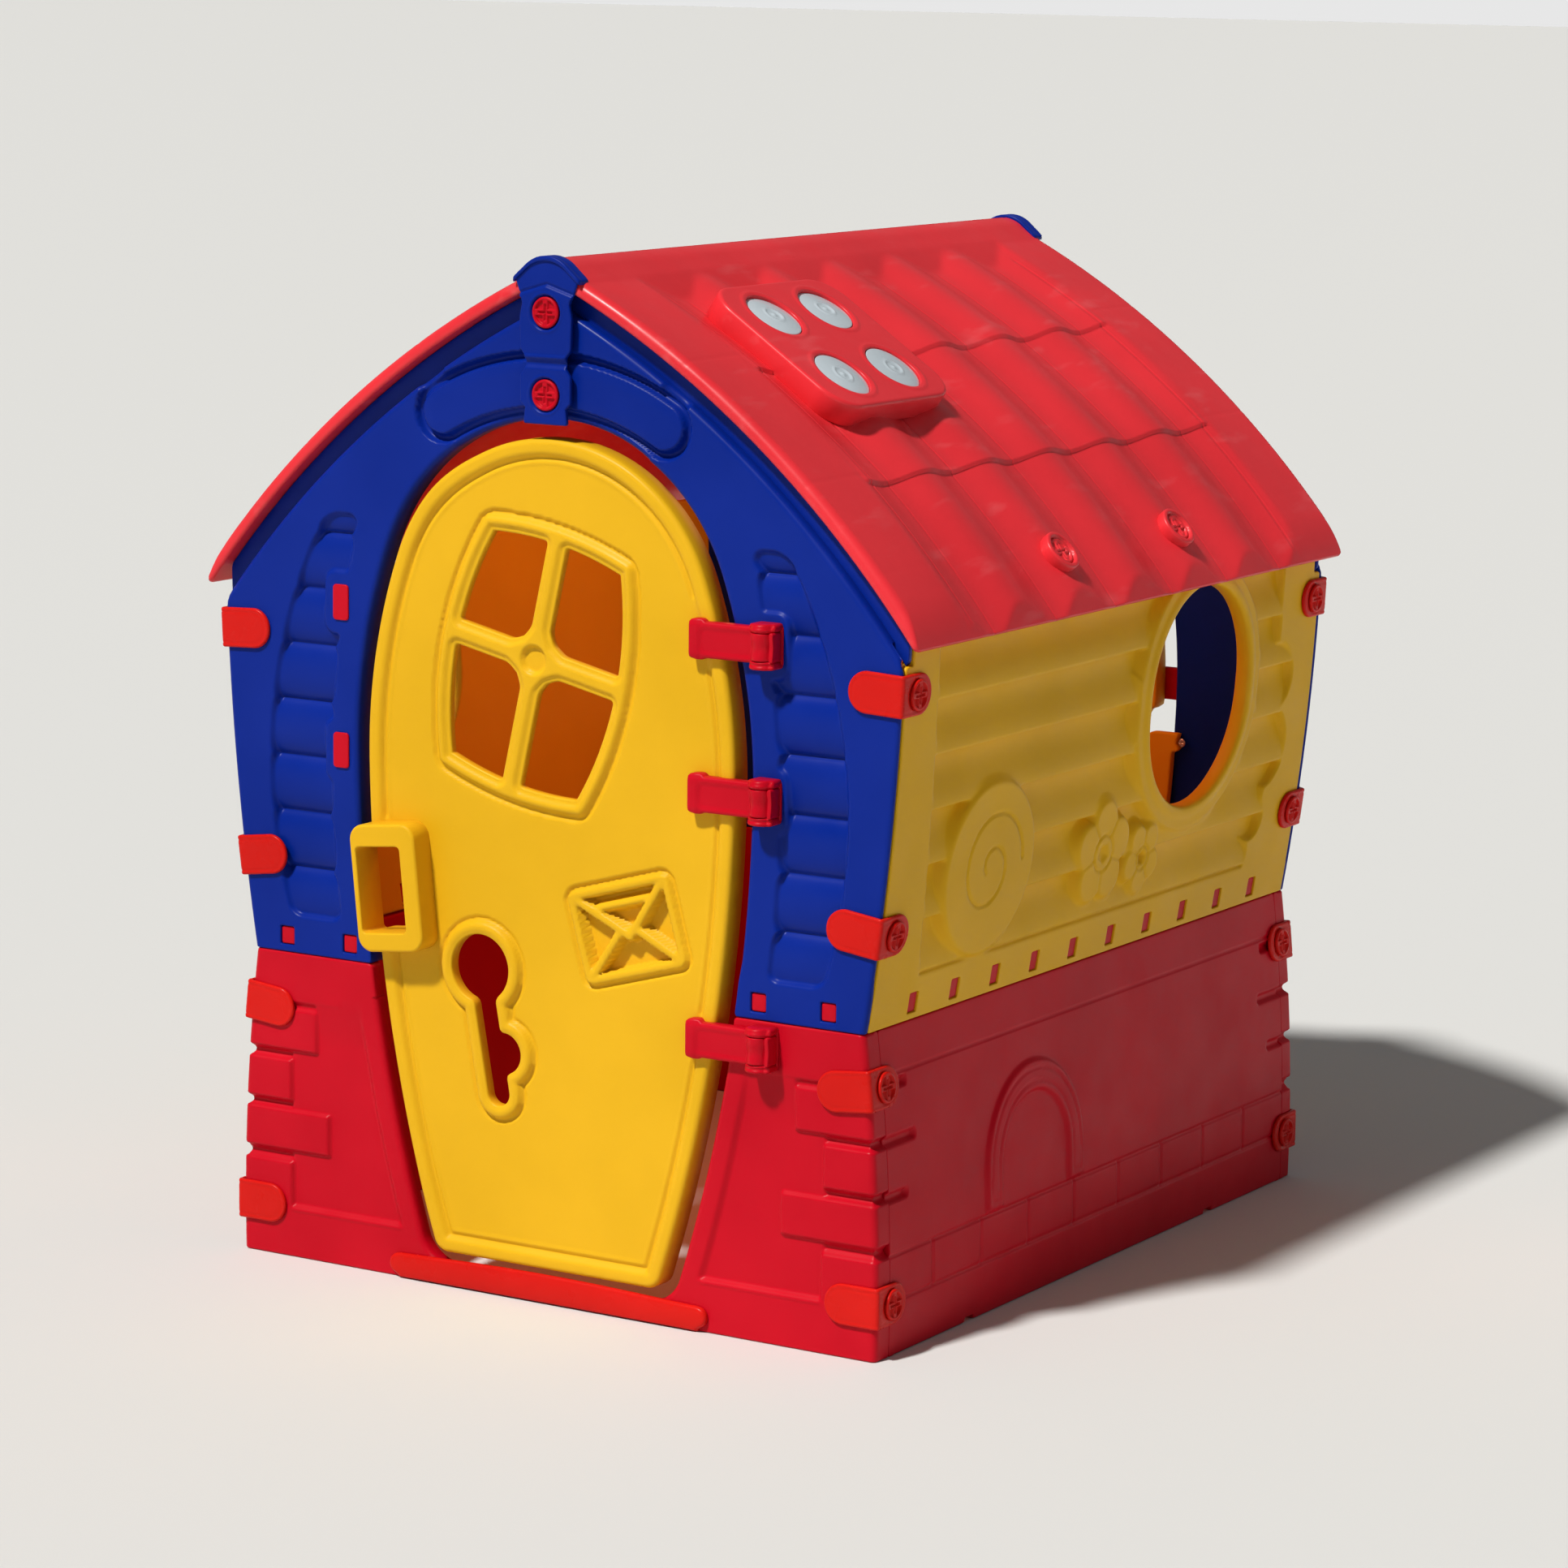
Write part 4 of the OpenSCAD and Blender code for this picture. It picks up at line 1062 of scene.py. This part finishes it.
for name, sy in ENDS.items():
    face = turned(facing(0, -STRAP_FACE, 0), 1, sy)
    us, vs = ticks(1.2, -45, 45), ticks(1.2, 920, 1104)
    body = shell(us, vs, ridge_outline, ridge_relief, face, 4.8, 1.6, 3, 0.5, 14)
    us, vs = ticks(1.6, -44, 44), ticks(1.6, -2, 22)
    cap = block(turned(cap_place, 1, sy), us, vs, -41, 41, 0, 19, 2.5, crown_relief, 5.0, 1.5, 3, 0.4, 14)
    piece(f"{name}_ridge_strap", "house", BLUE, [body, cap], [f"ridge_strap_{name}"])

heads = []
for sy in (1, -1):
    for z in RIDGE_SCREW_Z:
        spot = turned(facing(0, -STRAP_FACE, z), 1, sy)
        heads.append(screw_shell(spot, 0.3, 3.5))
piece("ridge_strap_screw_heads", "house", RED, heads, ["strap_screws"])


def threshold_outline(u, v):
    body = box(u, v, -201, 201, 5, 27, 10.5)
    hump = circle(u, v, 0, -1969, 2000.0)
    return join(body, meet(hump, np.abs(u) - 190, 2), 4)


for name, sy in ENDS.items():
    place = turned(facing(0, -HALF_LEN - 7, 0), 1, sy)
    crown = lambda u, v: -1.2 * ((v - 16) / 11) ** 2
    bar = shell(ticks(2.0, -204, 204), ticks(1.2, 2, 34), threshold_outline, crown, place, 6.8, 4.0, 4, 0.6)
    piece(f"{name}_threshold_bar", "house", ORANGE_RED, [bar], [f"threshold_{name}"])

# ------ door

PANE = (-20.0, 676.0, -12.5)
KEY = (-86.0, 350.0)
LETTER = (97.0, 412.0, 16.0)
GRIP = (-190.0, 427.0, 42.0, 68.0)
GRIP_HOLE = (-196.5, 424.5, 28.4, 46.0)
GRIP_TURN = 6.1
DOOR_FIELD = 470.0


def pane_frame(u, v):
    """Window frame with four bowed sides."""
    c, s = math.cos(math.radians(PANE[2])), math.sin(math.radians(PANE[2]))
    x, y = (u - PANE[0]) * c + (v - PANE[1]) * s, (v - PANE[1]) * c - (u - PANE[0]) * s
    a = np.hypot(np.abs(x) + 261, y) - 379
    b = np.hypot(x, np.abs(y) + 251) - 398
    return meet(a, b, 5), x, y


def panes(u, v):
    s, x, y = pane_frame(u, v)
    hole = meet(s + 17, 12 - np.abs(x + 1.5), 4)
    hole = meet(hole, 13 - np.abs(y - 5.5), 4)
    return meet(hole, 27 - np.hypot(x + 1.5, y - 5.5), 11)


def keyhole(u, v):
    c, s = math.cos(math.radians(10.5)), math.sin(math.radians(10.5))
    x, y = (u - KEY[0]) * c + (v - KEY[1]) * s, (v - KEY[1]) * c - (u - KEY[0]) * s
    slot = rod(x, y, (0, 0), (0, -133.6), 13.6)
    return join(join(np.hypot(x, y) - 36, slot, 6), circle(x, y, 13.5, -92, 22), 5)


def grip_box(u, v, spot, r):
    return box(u, v, spot[0] - spot[2], spot[0] + spot[2], spot[1] - spot[3], spot[1] + spot[3], r, GRIP_TURN)


def letter(u, v):
    c, s = math.cos(math.radians(LETTER[2])), math.sin(math.radians(LETTER[2]))
    x, y = (u - LETTER[0]) * c + (v - LETTER[1]) * s, (v - LETTER[1]) * c - (u - LETTER[0]) * s
    return box(x, y, -65, 65, -50, 50, 12), x, y


def door_rim(u, v):
    return meet(egg(u, v) - 2.5 - 5.0 * inside(u + 120, 80), DOOR_FOOT - v, 14)


def door_outline(u, v):
    s = door_rim(u, v)
    s = meet(s, -panes(u, v))
    s = meet(s, -keyhole(u, v))
    return meet(s, -grip_box(u, v, GRIP_HOLE, 4))


def door_edge(u, v):
    rim = door_rim(u, v)
    return np.where(rim > -16, 6.0, 2.4) * np.where(grip_box(u, v, GRIP_HOLE, 4) < 14, 0.25, 1.0)


def door_relief(u, v):
    rim = door_rim(u, v)
    gaps = np.minimum(box(u, v, 150, 260, 690, 762, 6), box(u, v, 150, 260, 286, 334, 6))
    gaps = np.minimum(gaps, grip_box(u, v, GRIP, 16) - 4)
    groove = 1 - inside(gaps, 6)
    roll = inside(-(rim + 16.5), 9)
    d = 4.0 * roll
    d -= 2.6 * ridge(rim + 20.0, 7.0) * groove
    d += 0.9 * ridge(rim + 25.0, 5.0) * groove
    s, x, y = pane_frame(u, v)
    d -= 3.2 * tube(s - 3.0, 6.5)
    d += 3.4 * inside(s + 2.5, 5)
    d -= 3.4 * inside(panes(u, v) - 6.5, 5)
    d -= 5.5 * inside(np.hypot(x + 1.5, y - 5.5) - 14.5, 4)
    k = keyhole(u, v)
    d += 6.0 * tube(k - 7.0, 15.0) - 2.2 * tube(k - 16.5, 5)
    e, x, y = letter(u, v)
    d -= 3.2 * tube(e - 2.6, 6)
    floor = -12.0 * inside(e + 9, 4)
    bars = np.abs(e + 5)
    for a, b in (((-60, 45), (2, -8)), ((60, 45), (2, -8)), ((-60, -45), (-12, -4)), ((60, -45), (14, -4))):
        bars = np.minimum(bars, rod(x, y, a, b))
    top = np.where(bars < 5.5, 3.2 * tube(bars, 11), floor)
    pill = rod(x, y, (-30, 27), (32, 27))
    top = np.maximum(top, -12.0 + 13.0 * tube(pill, 13))
    return np.where(e < 0, np.maximum(d + floor, top), d)


def door_depth(u, v):
    """Full depth at the rolled edge, a thin skin elsewhere."""
    skin = 9.5 + 9 * inside(letter(u, v)[0] - 10, 10)
    return np.where((door_rim(u, v) > -13) | (grip_box(u, v, GRIP_HOLE, 4) < 12), 24.0, skin)


def door_shells():
    place = facing(0, -DOOR_FIELD, 0)
    us, vs = ticks(2.1, -230, 230), ticks(2.1, 32, 914)
    main = shell(us, vs, door_outline, door_relief, place, door_depth, door_edge, 5)
    us, vs = ticks(1.2, -246, -136), ticks(1.2, 350, 504)
    loop = lambda u, v: meet(grip_box(u, v, GRIP, 17), -grip_box(u, v, GRIP_HOLE, 5))
    lip = lambda u, v: np.where(grip_box(u, v, GRIP_HOLE, 5) < 3.4, 1.8, 3.2)
    return [main, shell(us, vs, loop, 29, place, 11.5, lip, 5)]


piece("front_door_moulding", "door", YELLOW, door_shells(), ["door_front"])

# ------ hinges


def leaf_shells(z, sx, sy):
    """Door side of a hinge: a long clip over the door edge and the barrel it turns on."""
    face = turned(facing(0, -DOOR_FIELD - 13, z), sx, sy)

    def clip(u, v):
        arm = box(u, v, 182, 256, -18.5, 18.5, 4)
        shoe = box(u, v, 176, 194, -19.5, 21, 4)
        return join(arm, shoe, 2)

    def relief(u, v):
        hollow = box(u, v, 190, 270, -13, 12, 6)
        sides = np.clip((np.abs(v) - 13) / 7, 0, 1)
        return inside(u - 188, 5) - 1.2 * inside(hollow, 6) - 2.0 * sides**2

    def curl(u, v):
        return np.sqrt(np.maximum(10.8**2 - u**2, 4)) - 0.5 - 1.6 * ridge(v + 2, 22)

    arm = shell(ticks(1.4, 172, 260), ticks(1.4, -23, 24), clip, relief, face, 12.5, 3.0, 4, 0.6, 14)
    axle = turned(facing(PIVOT[0], -PIVOT[1], z), sx, sy)
    us, vs = ticks(1.0, -14, 12), ticks(1.4, -16, 16)
    return [arm, block(axle, us, vs, -13, 10.9, -13.8, 13.8, 1, curl, 8, 0.8, 2)]


def bracket_shells(z, sx, sy):
    """House side of a hinge: a plate with a cap above and a lip below the barrel."""
    face = turned(facing(PIVOT[0], -HALF_LEN, z), sx, sy)
    knuckle = lambda u: np.sqrt(np.maximum(1 - (np.clip(u, -12, 12) / 13.5) ** 2, 0.1))
    crest = lambda u, v: 11 + 16.0 * knuckle(u) - 0.12 * (v - 14) ** 1.6
    foot = lambda u, v: 12 + 13.0 * knuckle(np.minimum(u, 11)) - 1.5 * ridge(v + 18, 6)
    wall = lambda u, v: 21.0 - 1.2 * ridge(v, 26)
    us = ticks(1.0, -14, 18)
    plate = block(face, ticks(1.4, -19, 20), ticks(1.4, -25, 25), -16, 17, -23, 23, 6, 4, 1.0, 2.0)
    cap = block(face, us, ticks(1.0, 12, 25), -13.5, 16.5, 14.2, 23.4, 3.5, crest, 0.5, 3.4, 4)
    lip = block(face, us, ticks(1.0, -25, -12), -12.5, 16.5, -23, -14.3, 3, foot, 0.5, 2.2, 4)
    web = block(face, ticks(0.8, 11, 18), ticks(1.4, -16, 16), 11.7, 16.5, -15, 15, 1, wall, 0.5, 1.0, 3, 0.3)
    return [plate, cap, lip, web]


def hinge(tag, kind, leaf_body, z, sx, sy):
    leaf, bracket = f"{kind}_leaf_{tag}", f"{kind}_bracket_{tag}"
    names = [n.replace(kind, f"{kind}_hinge", 1) for n in (leaf, bracket)]
    piece(names[0], leaf_body, RED, leaf_shells(z, sx, sy), [leaf])
    piece(names[1], "house", RED, bracket_shells(z, sx, sy), [bracket])


for tag, z in zip(("top", "mid", "low"), HINGE_Z):
    hinge(tag, "door", "door", z, 1, 1)
for side, sx in {"r": 1, "l": -1}.items():
    for tag, z in {"t": HINGE_Z[0], "m": HINGE_Z[1]}.items():
        hinge(side + tag, "shutter", f"shutter_{side}", z, sx, -1)

plugs = []
for z in HINGE_Z[:2]:
    place = turned(facing(PIVOT[0], -HALF_LEN - 2.5, z), -1, 1)
    plugs.append(block(place, ticks(1.4, -12, 12), ticks(1.4, -21, 21), -10, 10, -19, 19, 4, 0, 2.3, 1.2))
piece("blank_socket_plugs", "house", RED, plugs, ["socket_plugs"])

# ------ rear closure


def rear_outline(u, v):
    crown = circle(u, v, 0, 514 - 2400, 2400)
    s = meet(egg(u, v) - DOOR_GAP - 4, crown, 10)
    s = meet(s, 31 - v, 6)
    for side in (-1, 1):
        ear = rod(u, v, (side * 258, 500), (side * 225, 500), 11)
        s = join(s, ear, 3)
        s = meet(s, -circle(u, v, side * 258, 500, 5.6))
    return s


def rear_relief(u, v):
    s = meet(egg(u, v) - DOOR_GAP + 14, circle(u, v, 0, 496 - 2400, 2400), 10)
    return -1.6 * ridge(meet(s, 46 - v, 8), 7)


place = turned(facing(0, -HALF_LEN + 18.4, 0), 1, -1)
rear = shell(ticks(3.0, -275, 275), ticks(3.0, 26, 520), rear_outline, rear_relief, place, 11, 2.5, 4, 1.0)
piece("rear_half_panel", "house", YELLOW, [rear], ["rear_panel"])

heads = []
for side in (-1, 1):
    spot = turned(flat_at((side * 258, -HALF_LEN + 24, 500), (-1, 0, 0), (0, 0, 1)), 1, -1)

    def pan(u, v):
        slots = np.minimum(box(u, v, -3, 3, -0.5, 0.5), box(u, v, -0.5, 0.5, -3, 3))
        return 3.0 - 0.06 * np.hypot(u, v) ** 2 - 1.0 * inside(slots, 0.5)

    us = ticks(0.5, -6, 6)
    heads.append(shell(us, us, disc(5), pan, spot, 0, 0.5, 2, 0.2, 4))
piece("rear_panel_screw_heads", "house", STEEL, heads, ["rear_panel_screws"])


def leaf_outline(u, v):
    s = meet(egg(u, v), SPLIT - v, 10)
    s = meet(s, 2.0 - u, 8)
    return meet(s, -rod(u, v, (216, SPLIT - 12), (216, SPLIT + 2), 9), 3)


def leaf_relief(u, v):
    rim = meet(meet(egg(u, v), SPLIT - v, 10), 2.0 - u, 8)
    d = 4.0 * inside(-(rim + 16.5), 9)
    d -= 2.4 * ridge(rim + 20, 7)
    return d + 0.8 * ridge(rim + 25, 5)


for side, sx in {"right": 1, "left": -1}.items():
    place = turned(facing(0, -DOOR_FIELD, 0), sx, -1)
    us, vs = ticks(2.4, -3, 230), ticks(2.4, SPLIT - 5, 914)
    body, ride = shell(us, vs, leaf_outline, leaf_relief, place, 24, 7.0, 5), f"shutter_{side[0]}"
    piece(f"{side}_shutter_moulding", ride, YELLOW, [body], [f"shutter_{side}"])

# ------ stage, lights, camera


def stage_floor():
    size = 60.0
    mesh = bpy.data.meshes.new("floor")
    corners = [(-size, -size, 0), (size, -size, 0), (size, size, 0), (-size, size, 0)]
    mesh.from_pydata(corners, [], [(0, 1, 2, 3)])
    floor = linked("floor", mesh)
    m = bpy.data.materials.new("floor_paper")
    m.use_nodes = True
    bsdf = m.node_tree.nodes["Principled BSDF"]
    bsdf.inputs["Base Color"].default_value = (0.66, 0.66, 0.65, 1)
    bsdf.inputs["Roughness"].default_value = 0.9
    mesh.materials.append(m)


def light_it():
    """A soft sun from the upper left front and a pale sky that is brightest at the horizon."""
    world = bpy.data.worlds.new("studio")
    bpy.context.scene.world = world
    world.use_nodes = True
    nodes, links = world.node_tree.nodes, world.node_tree.links
    coords = nodes.new("ShaderNodeTexCoord")
    split = nodes.new("ShaderNodeSeparateXYZ")
    links.new(coords.outputs["Generated"], split.inputs["Vector"])
    fade = nodes.new("ShaderNodeMapRange")
    fade.interpolation_type = "SMOOTHSTEP"
    for key, value in zip(("From Min", "From Max", "To Min", "To Max"), (0.02, 0.12, 0.80, 0.16)):
        fade.inputs[key].default_value = value
    links.new(split.outputs["Z"], fade.inputs["Value"])
    back = nodes["Background"]
    back.inputs["Color"].default_value = (1.0, 1.0, 1.0, 1)
    links.new(fade.outputs["Result"], back.inputs["Strength"])
    data = bpy.data.lights.new("key", "SUN")
    data.energy = 3.9
    data.angle = math.radians(5)
    data.color = (1.0, 0.985, 0.95)
    lamp = linked("key", data)
    lamp.location = (-1.8, -3.2, 4.6)
    lamp.rotation_euler = Vector((0.16, 0.62, -0.90)).to_track_quat("-Z", "Y").to_euler()
    glow = bpy.data.lights.new("cabin_glow", "AREA")
    glow.size = 0.4
    glow.energy = 2.2
    glow.color = (1.0, 0.34, 0.16)
    linked("cabin_glow", glow).location = (0, 0.1, 0.95)


def camera():
    """At the photograph's viewing angle, found from the house's own corners and screws."""
    azimuth, elevation, roll = (math.radians(a) for a in (31.73, 9.76, 0.688))
    level_part = math.cos(elevation)
    back = Vector((math.sin(azimuth) * level_part, -math.cos(azimuth) * level_part, math.sin(elevation)))
    right = Vector((math.cos(azimuth), math.sin(azimuth), 0))
    up = back.cross(right)
    c, s = math.cos(roll), math.sin(roll)
    rows = (c * right + s * up, c * up - s * right, back)
    data = bpy.data.cameras.new("camera")
    data.sensor_width = 36.0
    data.lens = 116.75
    cam = linked("camera", data)
    turn = Matrix(rows).transposed().to_4x4()
    cam.matrix_world = Matrix.Translation((2.9275, -4.7455, 1.4472)) @ turn
    bpy.context.scene.camera = cam


stage_floor()
light_it()
camera()
bpy.context.scene.view_settings.view_transform = "Standard"
